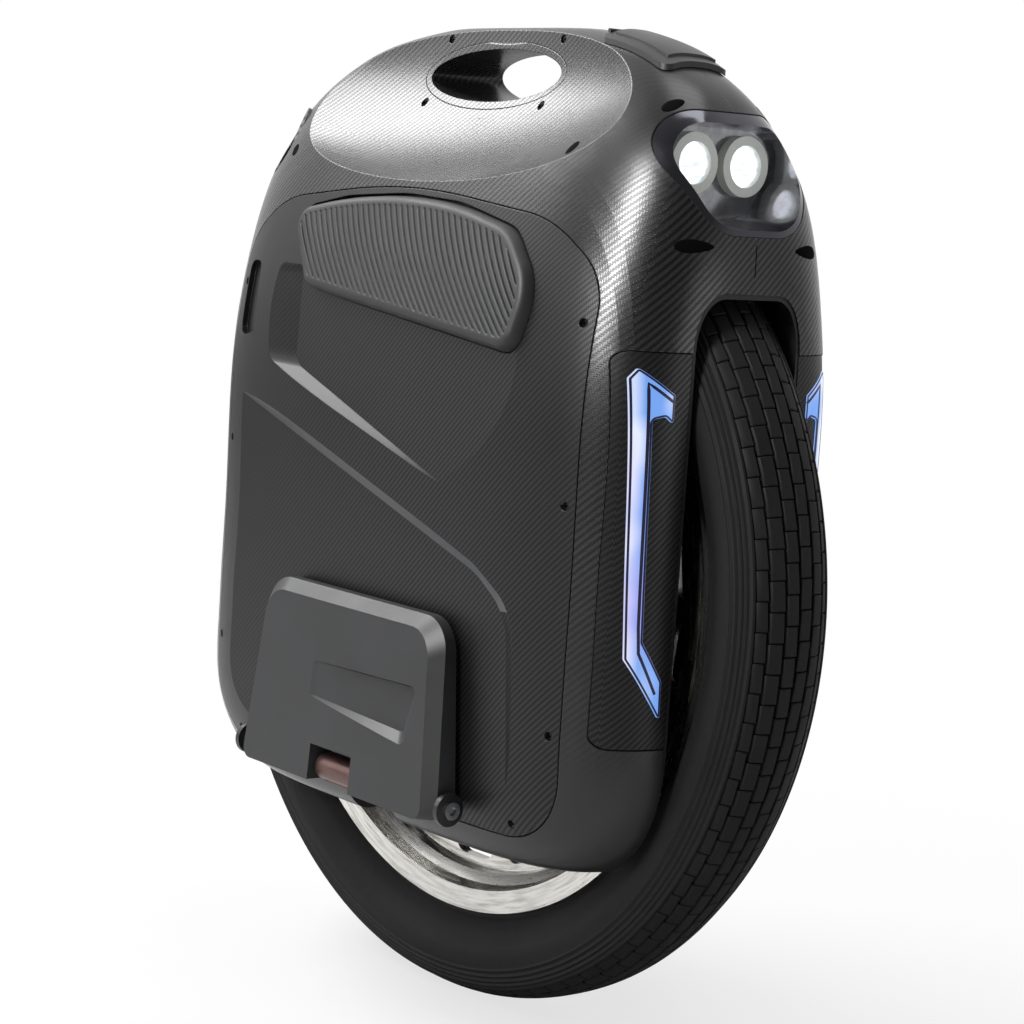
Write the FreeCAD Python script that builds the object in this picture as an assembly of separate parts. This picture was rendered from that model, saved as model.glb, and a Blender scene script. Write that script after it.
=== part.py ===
import FreeCAD, Part
import math
import os

V = FreeCAD.Vector
os.makedirs("parts", exist_ok=True)

# Electric unicycle.  Millimetres.  Origin on the ground under the wheel,
# +X forward, +Z up.  The right side is -Y; left pieces are mirrored from it.

# wheel
TYRE_RADIUS = 300.0
TYRE_HALF_WIDTH = 39.0
TYRE_WIDEST_RADIUS = 264.0
TYRE_SHOULDER_RADIUS = 288.0
TYRE_SHOULDER_HALF = 34.0
TYRE_CROWN_WALL = 11.0
TYRE_SIDE_WALL = 7.0
BEAD_RADIUS = 229.5
BEAD_HALF = 21.0
BEAD_THICK = 10.0
BEAD_TOP_RADIUS = 241.0
TREAD_GROOVES = (-22.3, -11.2, 0.0, 11.2, 22.3)
TREAD_GROOVE_WIDTH = 2.0
TREAD_GROOVE_DEPTH = 4.0
RIM_RADIUS = 239.5
RIM_HALF = 25.0
RIM_SEAT_RADIUS = 229.0
RIM_SEAT_SIDE_RADIUS = 227.5
RIM_SEAT_HALF = 12.0
RIM_WELL_RADIUS = 219.0
RIM_WELL_HALF = 9.0
RIM_BACK_RADIUS = 224.0
RIM_BACK_SIDE_RADIUS = 221.0
RIM_BACK_SIDE_HALF = 16.0
RIM_ROOT_RADIUS = 214.0
RIM_ROOT_HALF = 12.0
WEB_HALF = 4.0
WEB_TOP_RADIUS = 212.5
WEB_SLOTS = 22
WEB_SLOT_RADIUS = 197.0
WEB_SLOT_LENGTH = 42.0
WEB_SLOT_HEIGHT = 20.0
DRUM_OUTER_RADIUS = 154.0
DRUM_INNER_RADIUS = 142.0
DRUM_HALF = 33.0
COVER_THICK = 4.0
COVER_RADIUS = 153.0
COVER_BOSS_RADIUS = 44.0
COVER_BOSS_DEPTH = 8.0
COVER_LIP_RADIUS = 18.0
COVER_LIP_THICK = 2.0
COVER_SCREWS = 10
COVER_SCREW_CIRCLE = 148.0
COVER_SCREW_HEAD_RADIUS = 3.6
COVER_SCREW_HEAD_HEIGHT = 1.8
COVER_SCREW_RADIUS = 2.0
COVER_SCREW_LENGTH = 14.0
BEARING_OUTER_RADIUS = 23.5
BEARING_WIDTH = 12.0
BEARING_FIT = 0.05
MAGNET_THICK = 6.0
MAGNET_HALF = 33.0
MAGNET_CLEARANCE = 0.3
VALVE_RADIUS = 3.85
VALVE_LENGTH = 32.0
VALVE_SIDE = 4.5
VALVE_FLANGE_RADIUS = 6.5
VALVE_FLANGE_THICK = 3.0
VALVE_CLEARANCE = 0.3

# axle and motor core
AXLE_RADIUS = 12.5
AXLE_END_RADIUS = 10.0
AXLE_END = 75.0
CARRIER_RADIUS = 104.0
CARRIER_HALF = 6.0
STATOR_RADIUS = 134.8
STATOR_INNER_RADIUS = 90.0
STATOR_HALF = 25.0
STATOR_SLOTS = 30
STATOR_SLOT_WIDTH = 5.0
STATOR_SLOT_DEPTH = 18.0
STATOR_SLOT_OVER = 1.5
STATOR_CLEARANCE = 0.3
NUT_WIDTH = 30.0
NUT_HEIGHT = 11.0
NUT_CLEARANCE = 0.05

# body form
BODY_HALF_LENGTH = 236.0
BODY_HALF_WIDTH = 115.0
BODY_TOP = 676.0
BODY_BOTTOM = 130.0
NOSE_START = 516.0
SHOULDER_START = 430.0
TUCK_START = 215.0
TUCK_LENGTH = 58.0
TUCK_WIDTH = 32.0
PLAN_POWER_SHARE = 4.5
TOP_POWER_SHARE = 2.7
POWER_FROM = 440.0
POWER_TO = 640.0
NOSE_POWER_SHARE = 2.8
SHOULDER_POWER_SHARE = 2.0
TUCK_SHARES = (1.0, 0.97, 0.87, 0.7, 0.5, 0.25, 0.0)
STRAIGHT_SHARES = (0.33, 0.67)
TOP_SHARES = (0.0, 0.2, 0.36, 0.5, 0.6, 0.69, 0.77, 0.84, 0.9, 0.945, 0.975, 0.994)
PLAN_POINTS = 48
SHELL_WALL = 3.5
FAR = 500.0

# wheel arch
WELL_RADIUS = 315.0
WELL_HALF = 46.0
WELL_ROUND = 25.0
WELL_GAP = 0.4
ARCH_WALL = 2.5
ARCH_SET_BACK = 1.0
ARCH_AXLE_HOLE = 32.0

# handle
DISH_LENGTH = 233.0
DISH_HEIGHT = 88.0
DISH_DEPTH = 45.0
DISH_OFFSET = 30.0
DISH_TOP_Y = 22.0
DISH_TOP_Z = 671.0
DISH_LOW_Y = 95.0
DISH_LOW_Z = 568.0
HOLE_Z = 641.0
HOLE_HALF_LENGTH = 73.0
HOLE_HALF_HEIGHT = 21.0
HOLE_LEDGE_Y = 22.0
BEZEL_LEDGE = 3.0
BEZEL_WALL = 2.6
BEZEL_CLEARANCE = 0.3
CORE_HALF_LENGTH = 100.0
CORE_BOTTOM = 617.0
HANDLE_SCREWS = ((61.0, 666.0), (64.0, 621.0))
HANDLE_SCREW_LENGTH = 14.0

# side panel
PANEL_HALF_LENGTH = 198.0
PANEL_LOW = 152.0
PANEL_SIDE_TOP = 516.0
PANEL_SHOULDER_X = 150.0
PANEL_SHOULDER_Z = 549.0
PANEL_APEX = 565.5
PANEL_LOW_ROUND = 50.0
PANEL_SIDE_ROUND = 45.0
PANEL_SHOULDER_ROUND = 100.0
PANEL_APEX_ROUND = 600.0
PANEL_SEAM = 0.8
PANEL_RIM = 13.0
PANEL_THICK = 10.0
LEDGE_Y = 88.0
LEDGE_THICK = 6.0
LEDGE_WIDTH = 14.0
BEVEL_TOP_Y = 115.5
RECESS_FLOOR_Y = 108.5
RECESS_FLOOR = ((-230.0, 425.0), (112.0, 318.0), (146.0, 296.0), (163.0, 120.0), (-230.0, 120.0))
RECESS_FLOOR_ROUNDS = (4.0, 60.0, 40.0, 4.0, 4.0)
RECESS_EDGE = ((-230.0, 435.5), (118.0, 326.5), (174.0, 300.0), (191.0, 120.0), (-230.0, 110.0))
RECESS_EDGE_ROUNDS = (4.0, 60.0, 48.0, 4.0, 4.0)
POCKET_FLOOR_Y = 107.0
POCKET_CORNER_X = -109.0
POCKET_CORNER_Z = 434.0
POCKET_RISE_SHARE = 0.0223
POCKET_LEAN_SHARE = 0.0642
POCKET_FLOOR = ((-112.0, 503.0), (-109.0, 434.0), (80.0, 371.0), (175.0, 371.0), (175.0, 503.0))
POCKET_FLOOR_ROUNDS = (6.0, 14.0, 1.0, 1.0, 6.0)
POCKET_EDGE = ((-183.0, 503.0), (-147.0, 436.0), (82.0, 368.5), (176.0, 368.5), (176.0, 503.5))
POCKET_EDGE_ROUNDS = (6.0, 20.0, 1.0, 1.0, 6.0)
SCOOP_LINE = ((-186.0, 502.0), (-166.0, 502.0), (-158.0, 452.0), (-186.0, 446.0))
SCOOP_ROUNDS = (8.0, 6.0, 8.0, 8.0)
SCOOP_DEPTH = 4.0
PANEL_SCREWS = ((189.5, 486.0), (190.0, 372.0), (190.0, 226.0), (158.0, 162.0),
                (-189.5, 486.0), (-190.0, 372.0), (-190.0, 226.0), (-158.0, 162.0))
HEX_SHARE = 0.6
HEX_SIDES = 6
SCREW_HEAD_RADIUS = 2.8
SCREW_HEAD_HEIGHT = 1.8
SCREW_SUNK = 1.4
SCREW_RADIUS = 1.5
SCREW_CLEARANCE = 0.15
PANEL_SCREW_LENGTH_END = 83.5

# knee pad
PAD_LOW_Y = 108.0
PAD_LOW_Z = 462.0
PAD_HIGH_Y = 93.5
PAD_HIGH_Z = 552.0
PAD_PROUD = 13.0
PAD_EDGE = 4.0
PAD_CLEARANCE = 0.3
PAD_LINE = ((-127.0, 80.0), (-66.0, 91.5), (0.0, 96.0), (62.0, 92.5), (122.0, 79.0), (152.0, 44.0),
            (142.0, -2.0), (-96.0, 25.0))
PAD_ROUNDS = (16.0, 80.0, 200.0, 120.0, 26.0, 40.0, 16.0, 14.0)

# head lamp
LAMP_LINE = ((-44.0, 622.0), (44.0, 622.0), (64.0, 591.0), (36.0, 545.0), (-36.0, 545.0), (-64.0, 591.0))
LAMP_ROUNDS = (33.0, 33.0, 27.0, 34.0, 34.0, 27.0)
LAMP_WALL = 6.0
LAMP_BACK = 165.0
LAMP_FLANGE = 4.0
LAMP_FLANGE_THICK = 3.0
LAMP_CLEARANCE = 0.3
LAMP_FLUSH = 0.4
LAMP_FLOOR = 190.0
LAMP_FRONT = 250.0
LAMP_MOUTH_INSET = 2.5
LAMP_FLOOR_INSET = 10.0
LAMP_WHEEL_GAP = 3.0
LED_SIDE = 22.0
LED_HEIGHT = 589.0
LED_RING_RADIUS = 19.5
LED_RING_WIDTH = 6.0
LED_RING_HEIGHT = 7.0
LED_SEAT_RADIUS = 20.0
LED_LENS_RADIUS = 13.2
LED_LENS_HEIGHT = 5.0
LED_LENS_DOME = 3.0

# light panels beside the wheel
LIGHT_LOW = 222.0
LIGHT_HIGH = 472.0
LIGHT_OUTER = 92.0
LIGHT_ROUND = 9.0
LIGHT_SEAM = 0.6
LIGHT_FLUSH = 0.5
LIGHT_THICK = 3.0
LIGHT_OPENING = 4.0
LIGHT_START = 39.0
LENS_LINE = ((85.0, 455.0), (80.0, 462.0), (57.0, 446.0), (57.0, 427.0), (63.0, 432.0), (71.0, 430.0),
             (67.0, 291.0), (52.0, 266.0), (51.0, 239.0), (78.0, 280.0))
LENS_ROUNDS = (1.5, 2.0, 2.0, 1.5, 2.0, 3.0, 3.0, 2.0, 1.5, 3.0)
LENS_SEAM = 0.3
LENS_FLUSH = 0.0
LENS_FLOOR = 2.5

# top flap, port tray, socket, button
FLAP_REAR = 103.0
FLAP_FRONT = 170.0
FLAP_HALF = 28.0
FLAP_ROUND = 8.0
FLAP_THICK = 3.5
FLAP_GAP = 0.4
FLAP_STEP_INSET = 7.0
FLAP_STEP = 1.5
FLAP_PIN_Z = 672.0
FLAP_BEAD_RADIUS = 1.4
FLAP_BEAD_HALF = 20.0
TRAY_REAR = 110.0
TRAY_FRONT = 161.0
TRAY_HALF = 20.0
TRAY_FLOOR = 624.0
TRAY_WALL = 2.5
TRAY_DEPTH_TOP = 2.0
SOCKET_X = 124.0
SOCKET_RADIUS = 9.5
SOCKET_BORE = 6.5
SOCKET_HEIGHT = 11.0
SOCKET_BORE_DEPTH = 9.0
BUTTON_X = 147.0
BUTTON_RADIUS = 8.0
BUTTON_BEZEL_RADIUS = 11.0
BUTTON_BEZEL_HEIGHT = 6.0
BUTTON_HEIGHT = 8.0
BUTTON_TRAVEL = 2.0
BUTTON_GAP = 0.4

# rear speaker grille
GRILLE_X = -196.0
GRILLE_Z = 590.0
GRILLE_TURN = 60.0
GRILLE_RISE = 20.0
GRILLE_HALF_WIDTH = 19.0
GRILLE_HALF_HEIGHT = 27.0
GRILLE_DEPTH = 6.0
GRILLE_THICK = 3.0
GRILLE_LIP = 3.0
GRILLE_SEAM = 0.3
GRILLE_BOSS = 4.0
GRILLE_BOSS_DEPTH = 14.0
GRILLE_HOLE_RADIUS = 1.8
GRILLE_PITCH = 6.2
GRILLE_ROWS = 3
GRILLE_COLUMNS = 2
GRILLE_EDGE = 5.0

# pedal, hinge and hanger
PIN_Y = 122.5
PIN_Z = 164.0
PIN_RADIUS = 5.0
PIN_CLEARANCE = 0.05
PIN_HALF_LENGTH = 119.0
PIN_HEAD_RADIUS = 6.0
PIN_HEAD_HEIGHT = 3.0
PIN_SOCKET_WIDTH = 5.5
PIN_SOCKET_DEPTH = 2.0
PEDAL_INNER_Y = 113.0
PEDAL_LOW_OUTER_Y = 136.5
PEDAL_TOP_OUTER_Y = 128.5
PEDAL_LOW = 155.0
PEDAL_TOP = 286.0
PEDAL_HALF_LOW = 113.0
PEDAL_HALF_TOP = 101.0
PEDAL_TOP_ROUND = 24.0
PEDAL_LOW_ROUND = 8.0
PEDAL_CHAMFER = 8.0
PEDAL_CUT_HALF = 24.0
PEDAL_CUT_TOP = 180.0
GRAB_START = -36.0
GRAB_END = 84.0
GRAB_DEPTH = 6.5
GRAB_OVER = 1.0
GRAB_FLOOR = ((-26.0, 213.0), (70.0, 206.0), (79.0, 237.0), (-26.0, 236.0))
GRAB_FLOOR_ROUNDS = (2.0, 4.0, 4.0, 2.0)
GRAB_EDGE = ((-40.0, 211.0), (80.5, 197.5), (88.0, 240.0), (-40.0, 237.5))
GRAB_EDGE_ROUNDS = (3.0, 7.0, 5.0, 3.0)
CAP_RADIUS = 11.0
CAP_THICK = 4.0
GRIP_INSET = 8.0
GRIP_THICK = 1.5
HANGER_HALF = 30.0
HANGER_TOP = 334.0
HANGER_THICK = 14.0
HANGER_ROUND = 26.0
HANGER_LOW_ROUND = 10.0
TONGUE_HALF = 22.0
TONGUE_TOP = 174.0
TONGUE_LOW = 153.0
TONGUE_END_RADIUS = 9.0
TONGUE_SLOT = 2.0

# inside the side bays
PACK_INNER_X = 44.0
PACK_OUTER_X = 176.0
PACK_LOW = 200.0
PACK_HIGH = 428.0
PACK_THICK = 42.0
PACK_ROUND = 6.0
SINK_HALF = 92.0
SINK_LOW = 446.0
SINK_HIGH = 516.0
SINK_BASE = 5.0
SINK_FIN_HEIGHT = 14.0
SINK_FIN = 3.0
SINK_FINS = 9
BOARD_THICK = 4.0
BOARD_LENGTH = 80.0
FAN_SIZE = 60.0
FAN_THICK = 15.0
FAN_BORE = 27.0
FAN_LOW = 450.0


def axle_point():
    return V(0, 0, TYRE_RADIUS)


def box(x0, x1, y0, y1, z0, z1):
    return Part.makeBox(x1 - x0, y1 - y0, z1 - z0, V(x0, y0, z0))


def rod_y(radius, y0, y1, x=0.0, z=TYRE_RADIUS):
    return Part.makeCylinder(radius, y1 - y0, V(x, y0, z), V(0, 1, 0))


def mirrored(shape):
    return shape.mirror(V(0, 0, 0), V(0, 1, 0))


def save(name, shape):
    shape.exportStep("parts/%s.step" % name)


def save_pair(name, right):
    save("right_" + name, right)
    save("left_" + name, mirrored(right))


def rounded(points, rounds, place):
    """Closed wire through 2-D points with rounded corners."""
    count = len(points)
    ends = []
    for i in range(count):
        here = V(points[i][0], points[i][1], 0)
        back = V(points[i - 1][0], points[i - 1][1], 0) - here
        ahead = V(points[(i + 1) % count][0], points[(i + 1) % count][1], 0) - here
        back.normalize()
        ahead.normalize()
        half = back.getAngle(ahead) / 2
        reach = rounds[i] / math.tan(half)
        middle = back + ahead
        middle.normalize()
        top = here + middle * (rounds[i] / math.sin(half) - rounds[i])
        ends.append((here + back * reach, top, here + ahead * reach))
    edges = []
    for i in range(count):
        first, top, last = [place(p.x, p.y) for p in ends[i]]
        edges.append(Part.Arc(first, top, last).toShape())
        start = place(ends[(i + 1) % count][0].x, ends[(i + 1) % count][0].y)
        edges.append(Part.makeLine(last, start))
    return Part.Wire(edges)


def on_side(y):
    return lambda x, z: V(x, y, z)


def on_front(x):
    return lambda y, z: V(x, y, z)


def on_plan(z):
    return lambda x, y: V(x, y, z)


def inset(wire, amount):
    return wire.makeOffset2D(-amount)


def prism(wire, along):
    return Part.Face(wire).extrude(along)


def side_prism(wire):
    """Prism from a side outline at y = 0 out past the right side."""
    return prism(wire, V(0, -FAR, 0))


def ellipse_wire(half_length, half_height, z, y):
    curve = Part.Ellipse(V(0, 0, 0), half_length, half_height)
    edge = curve.toShape()
    edge.rotate(V(0, 0, 0), V(1, 0, 0), 90)
    edge.translate(V(0, y, z))
    return Part.Wire([edge])


def spun(points):
    """Solid of revolution about the axle from (radius, y) points."""
    corners = [V(0, y, TYRE_RADIUS + r) for r, y in points]
    wire = Part.makePolygon(corners + corners[:1])
    return Part.Face(wire).revolve(axle_point(), V(0, 1, 0), 360)


def around(shape, count):
    copies = []
    for i in range(count):
        turned = shape.copy()
        turned.rotate(axle_point(), V(0, 1, 0), 360 * i / count)
        copies.append(turned)
    return copies


# body form

def curve_share(t, power):
    return (1 - t ** power) ** (1 / power)


def plan_size(z, off):
    """Half length and half width of the body at height z, taken in by off."""
    length = BODY_HALF_LENGTH - off
    width = BODY_HALF_WIDTH - off
    top = BODY_TOP - off
    low = BODY_BOTTOM + off
    if z > NOSE_START:
        length = length * curve_share((z - NOSE_START) / (top - NOSE_START), NOSE_POWER_SHARE)
    if z > SHOULDER_START:
        width = width * curve_share((z - SHOULDER_START) / (top - SHOULDER_START), SHOULDER_POWER_SHARE)
    if z < TUCK_START:
        bend = 1 - math.sqrt(max(0, 1 - ((TUCK_START - z) / (TUCK_START - low)) ** 2))
        length = length - TUCK_LENGTH * bend
        width = width - TUCK_WIDTH * bend
    return length, width


def plan_power(z):
    """The plan is boxy beside the wheel and rounder towards the top."""
    share = min(1, max(0, (z - POWER_FROM) / (POWER_TO - POWER_FROM)))
    return PLAN_POWER_SHARE + (TOP_POWER_SHARE - PLAN_POWER_SHARE) * share


def plan_wire(z, off):
    length, width = plan_size(z, off)
    power = plan_power(z)
    points = []
    for i in range(PLAN_POINTS):
        angle = 2 * math.pi * i / PLAN_POINTS + math.pi / 2
        c = math.cos(angle)
        s = math.sin(angle)
        x = math.copysign(abs(c) ** (2 / power), c) * length
        y = math.copysign(abs(s) ** (2 / power), s) * width
        points.append(V(x, y, z))
    curve = Part.BSplineCurve()
    curve.interpolate(points, PeriodicFlag=True)
    return Part.Wire([curve.toShape()])


FORMS = {}


def form(off):
    """The body's outside, taken in by off on every side."""
    if off not in FORMS:
        low = BODY_BOTTOM + off
        top = BODY_TOP - off
        heights = [TUCK_START - (TUCK_START - low) * share for share in TUCK_SHARES]
        heights += [TUCK_START + (SHOULDER_START - TUCK_START) * share for share in STRAIGHT_SHARES]
        heights += [SHOULDER_START + (top - SHOULDER_START) * share for share in TOP_SHARES]
        FORMS[off] = Part.makeLoft([plan_wire(z, off) for z in heights], True, False)
    return FORMS[off]


def skin(outer, inner):
    return form(outer).cut(form(inner))


def side_surface(solid, x, z):
    """Where a line from the right first meets the solid."""
    line = Part.makeLine(V(x, -FAR, z), V(x, 0, z))
    return min(v.Y for v in solid.common(line).Vertexes)


def well(radius, half, round_radius):
    """Wheel-shaped room: a drum with round shoulders, open downwards."""
    drum = rod_y(radius, -half, half)
    rims = [e for e in drum.Edges if len(e.Vertexes) == 1]
    drum = drum.makeFillet(round_radius, rims)
    return drum.fuse(box(-radius, radius, -half, half, 0, TYRE_RADIUS))


def dish(grow):
    """Ellipsoid that scoops the hand room out of the right side."""
    ball = Part.makeSphere(1)
    run = V(0, DISH_LOW_Y - DISH_TOP_Y, DISH_TOP_Z - DISH_LOW_Z)
    out = V(0, -run.z, run.y)
    out.normalize()
    slope = V(0, out.z, -out.y)
    middle = V(0, -(DISH_LOW_Y + DISH_TOP_Y) / 2, (DISH_LOW_Z + DISH_TOP_Z) / 2) + out * DISH_OFFSET
    a = DISH_LENGTH + grow
    b = DISH_HEIGHT + grow
    c = DISH_DEPTH + grow
    matrix = FreeCAD.Matrix(a, 0, 0, middle.x,
                            0, slope.y * b, out.y * c, middle.y,
                            0, slope.z * b, out.z * c, middle.z,
                            0, 0, 0, 1)
    return ball.transformGeometry(matrix)


def panel_wire():
    points = ((-PANEL_HALF_LENGTH, PANEL_LOW), (PANEL_HALF_LENGTH, PANEL_LOW),
              (PANEL_HALF_LENGTH, PANEL_SIDE_TOP), (PANEL_SHOULDER_X, PANEL_SHOULDER_Z), (0, PANEL_APEX),
              (-PANEL_SHOULDER_X, PANEL_SHOULDER_Z), (-PANEL_HALF_LENGTH, PANEL_SIDE_TOP))
    rounds = (PANEL_LOW_ROUND, PANEL_LOW_ROUND, PANEL_SIDE_ROUND, PANEL_SHOULDER_ROUND, PANEL_APEX_ROUND,
              PANEL_SHOULDER_ROUND, PANEL_SIDE_ROUND)
    return rounded(points, rounds, on_side(0))


def lamp_wire(x):
    return rounded(LAMP_LINE, LAMP_ROUNDS, on_front(x))


def lamp_prism(x0, x1, shrink):
    wire = lamp_wire(x0)
    if shrink:
        wire = inset(wire, shrink)
    return prism(wire, V(x1 - x0, 0, 0))


def light_prism(outer, low, high, inner):
    """Right-hand front outline beside the wheel, run forward."""
    points = ((-inner, low), (-inner, high), (-outer, high), (-outer, low))
    edge = LIGHT_SEAM
    wire = rounded(points, (edge, edge, LIGHT_ROUND, LIGHT_ROUND), on_front(LIGHT_START))
    return prism(wire, V(FAR, 0, 0))


def lens_prism(shrink):
    points = [(-y, z) for y, z in LENS_LINE]
    wire = rounded(points, LENS_ROUNDS, on_front(LIGHT_START))
    if shrink:
        wire = inset(wire, shrink)
    return prism(wire, V(FAR, 0, 0))


def rear(shape):
    return shape.mirror(V(0, 0, 0), V(1, 0, 0))


def grille_place(shape):
    shape.rotate(V(0, 0, 0), V(0, 1, 0), -90 + GRILLE_RISE)
    shape.rotate(V(0, 0, 0), V(0, 0, 1), GRILLE_TURN)
    shape.translate(V(GRILLE_X, side_surface(form(0), GRILLE_X, GRILLE_Z), GRILLE_Z))
    return shape


def grille_oval(grow, low, high):
    """Oval slab in the grille's own frame, its outside at height 0."""
    curve = Part.Ellipse(V(0, 0, low), GRILLE_HALF_HEIGHT + grow, GRILLE_HALF_WIDTH + grow)
    return prism(Part.Wire([curve.toShape()]), V(0, 0, high - low))


def screw(head_radius, head_height, radius, length):
    """Pan screw pointing to +Y, top of the head at y = 0."""
    head = Part.makeCylinder(head_radius, head_height, V(0, 0, 0), V(0, 1, 0))
    shank = Part.makeCylinder(radius, length, V(0, 0, 0), V(0, 1, 0))
    drive = Part.makeCylinder(radius * HEX_SHARE, head_height * HEX_SHARE, V(0, 0, 0), V(0, 1, 0))
    return head.fuse(shank).cut(drive)


def screw_room(x, y, z, length):
    """Hole for a sunk screw whose head floor is flat."""
    floor = y + SCREW_SUNK + SCREW_HEAD_HEIGHT
    head = rod_y(SCREW_HEAD_RADIUS + SCREW_CLEARANCE, y - FAR, floor, x, z)
    hole = rod_y(SCREW_RADIUS + SCREW_CLEARANCE, floor - SCREW_HEAD_HEIGHT, y + length, x, z)
    return head.fuse(hole)


def screw_at(x, y, z, length):
    piece = screw(SCREW_HEAD_RADIUS, SCREW_HEAD_HEIGHT, SCREW_RADIUS, length)
    piece.translate(V(x, y + SCREW_SUNK, z))
    return piece


def hanger_room():
    """Slot that lets the hanger tongue out through shell and panel."""
    half = TONGUE_HALF + TONGUE_SLOT
    return box(-half, half, -FAR, -LEDGE_Y + PANEL_RIM + LEDGE_THICK, 0, TONGUE_TOP + TONGUE_SLOT)


def handle_room():
    """Hand hole with a wider mouth that seats the bezel flange."""
    hole = prism(ellipse_wire(HOLE_HALF_LENGTH, HOLE_HALF_HEIGHT, HOLE_Z, 0), V(0, -FAR, 0))
    mouth = prism(ellipse_wire(HOLE_HALF_LENGTH + BEZEL_LEDGE, HOLE_HALF_HEIGHT + BEZEL_LEDGE,
                               HOLE_Z, -HOLE_LEDGE_Y), V(0, -FAR, 0))
    return hole.fuse(mouth)


def outer_body():
    scoop = dish(0)
    return form(0).cut(Part.makeCompound([scoop, mirrored(scoop)]))


def body_cavity():
    scoop = dish(SHELL_WALL)
    core = box(-CORE_HALF_LENGTH, CORE_HALF_LENGTH, -FAR, FAR, CORE_BOTTOM, BODY_TOP)
    lamp = lamp_prism(LAMP_BACK, FAR, -LAMP_WALL)
    boss = grille_place(grille_oval(GRILLE_BOSS, -GRILLE_BOSS_DEPTH, GRILLE_BOSS_DEPTH))
    return form(SHELL_WALL).cut(Part.makeCompound([scoop, core, lamp, boss]))


def panel_screw_spots(solid):
    return [(x, side_surface(solid, x, z), z) for x, z in PANEL_SCREWS]


def handle_screw_spots(outer):
    spots = []
    for x, z in HANDLE_SCREWS:
        y = side_surface(outer, x, z)
        spots += [(x, y, z), (-x, y, z)]
    return spots


def make_shell(outer, spots, panel_spots):
    right = box(-FAR, FAR, -FAR, 0, 0, FAR + FAR)
    wall = outer.common(right).cut(body_cavity())
    window = side_prism(inset(panel_wire(), LEDGE_WIDTH))
    ledge = box(-FAR, FAR, -LEDGE_Y, -LEDGE_Y + LEDGE_THICK, 0, FAR + FAR).common(outer).cut(window)
    shell = wall.fuse(ledge)
    opening = side_prism(panel_wire()).common(box(-FAR, FAR, -FAR, -LEDGE_Y, 0, FAR + FAR))
    light = light_prism(LIGHT_OUTER, LIGHT_LOW, LIGHT_HIGH, WELL_HALF - ARCH_WALL)
    slot = light.cut(form(LIGHT_OPENING))
    tools = [opening, well(WELL_RADIUS + WELL_GAP, WELL_HALF, WELL_ROUND), slot, rear(slot),
             lamp_prism(LAMP_BACK, FAR, 0), hanger_room(), handle_room(),
             box(TRAY_REAR, TRAY_FRONT, -TRAY_HALF, TRAY_HALF, TRAY_FLOOR, BODY_TOP)]
    tools.append(grille_place(grille_oval(0, -GRILLE_DEPTH, FAR)))
    tools.append(grille_place(grille_oval(-GRILLE_LIP, -GRILLE_BOSS_DEPTH * 2, FAR)))
    tools += [screw_room(x, y, z, HANDLE_SCREW_LENGTH) for x, y, z in spots]
    tools += [screw_room(x, y, z, -y - LEDGE_Y + LEDGE_THICK + LEDGE_THICK) for x, y, z in panel_spots]
    for tool in tools:
        shell = shell.cut(tool)
    return shell


def pedal_recess():
    """Flat-floored recess behind the folded pedal, with a sloping wall."""
    floor = rounded(RECESS_FLOOR, RECESS_FLOOR_ROUNDS, on_side(-RECESS_FLOOR_Y))
    edge = rounded(RECESS_EDGE, RECESS_EDGE_ROUNDS, on_side(-BEVEL_TOP_Y))
    return Part.makeLoft([floor, edge], True, True)


def pocket_floor(x, z):
    out = POCKET_RISE_SHARE * (x - POCKET_CORNER_X) - POCKET_LEAN_SHARE * (z - POCKET_CORNER_Z)
    return V(x, -POCKET_FLOOR_Y - out, z)


def pad_pocket():
    """Leaning floor round the knee pad, with a sloping wall behind and below it."""
    floor = rounded(POCKET_FLOOR, POCKET_FLOOR_ROUNDS, pocket_floor)
    edge = rounded(POCKET_EDGE, POCKET_EDGE_ROUNDS, on_side(-BEVEL_TOP_Y))
    return Part.makeLoft([floor, edge], True, True)


def make_panel(spots):
    wire = inset(panel_wire(), PANEL_SEAM)
    body = side_prism(wire).common(form(0)).common(box(-FAR, FAR, -FAR, -LEDGE_Y, 0, FAR + FAR))
    hollow = side_prism(inset(panel_wire(), PANEL_RIM)).common(form(PANEL_THICK))
    body = body.cut(hollow)
    scoop = side_prism(rounded(SCOOP_LINE, SCOOP_ROUNDS, on_side(0))).cut(form(SCOOP_DEPTH))
    seat = pad_pocket().cut(pad_solid(-FAR, 0))
    for tool in (scoop, pedal_recess(), seat, pad_solid(PAD_PROUD + FAR, -PAD_CLEARANCE)):
        body = body.cut(tool)
    body = body.cut(hanger_room())
    screws = [screw_room(x, y, z, -y - LEDGE_Y + LEDGE_THICK) for x, y, z in spots]
    return body.cut(Part.makeCompound(screws))


def pad_solid(height, shrink):
    """Pad outline on its own tilted seat, raised by height."""
    wire = rounded(PAD_LINE, PAD_ROUNDS, on_plan(0))
    if shrink:
        wire = inset(wire, shrink)
    block = prism(wire, V(0, 0, height))
    tilt = math.degrees(math.atan2(PAD_LOW_Y - PAD_HIGH_Y, PAD_HIGH_Z - PAD_LOW_Z))
    block.rotate(V(0, 0, 0), V(1, 0, 0), 90 - tilt)
    block.translate(V(0, -PAD_LOW_Y, PAD_LOW_Z))
    return block


def make_pad():
    pad = pad_solid(PAD_PROUD, 0)
    top = max(pad.Faces, key=lambda f: -f.CenterOfMass.y)
    return pad.makeFillet(PAD_EDGE, top.Edges)


def make_arch():
    outer = well(WELL_RADIUS, WELL_HALF, WELL_ROUND).common(form(ARCH_SET_BACK))
    inner = well(WELL_RADIUS - ARCH_WALL, WELL_HALF - ARCH_WALL, WELL_ROUND - ARCH_WALL)
    return outer.cut(inner).cut(rod_y(ARCH_AXLE_HOLE, -FAR, FAR))


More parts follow.
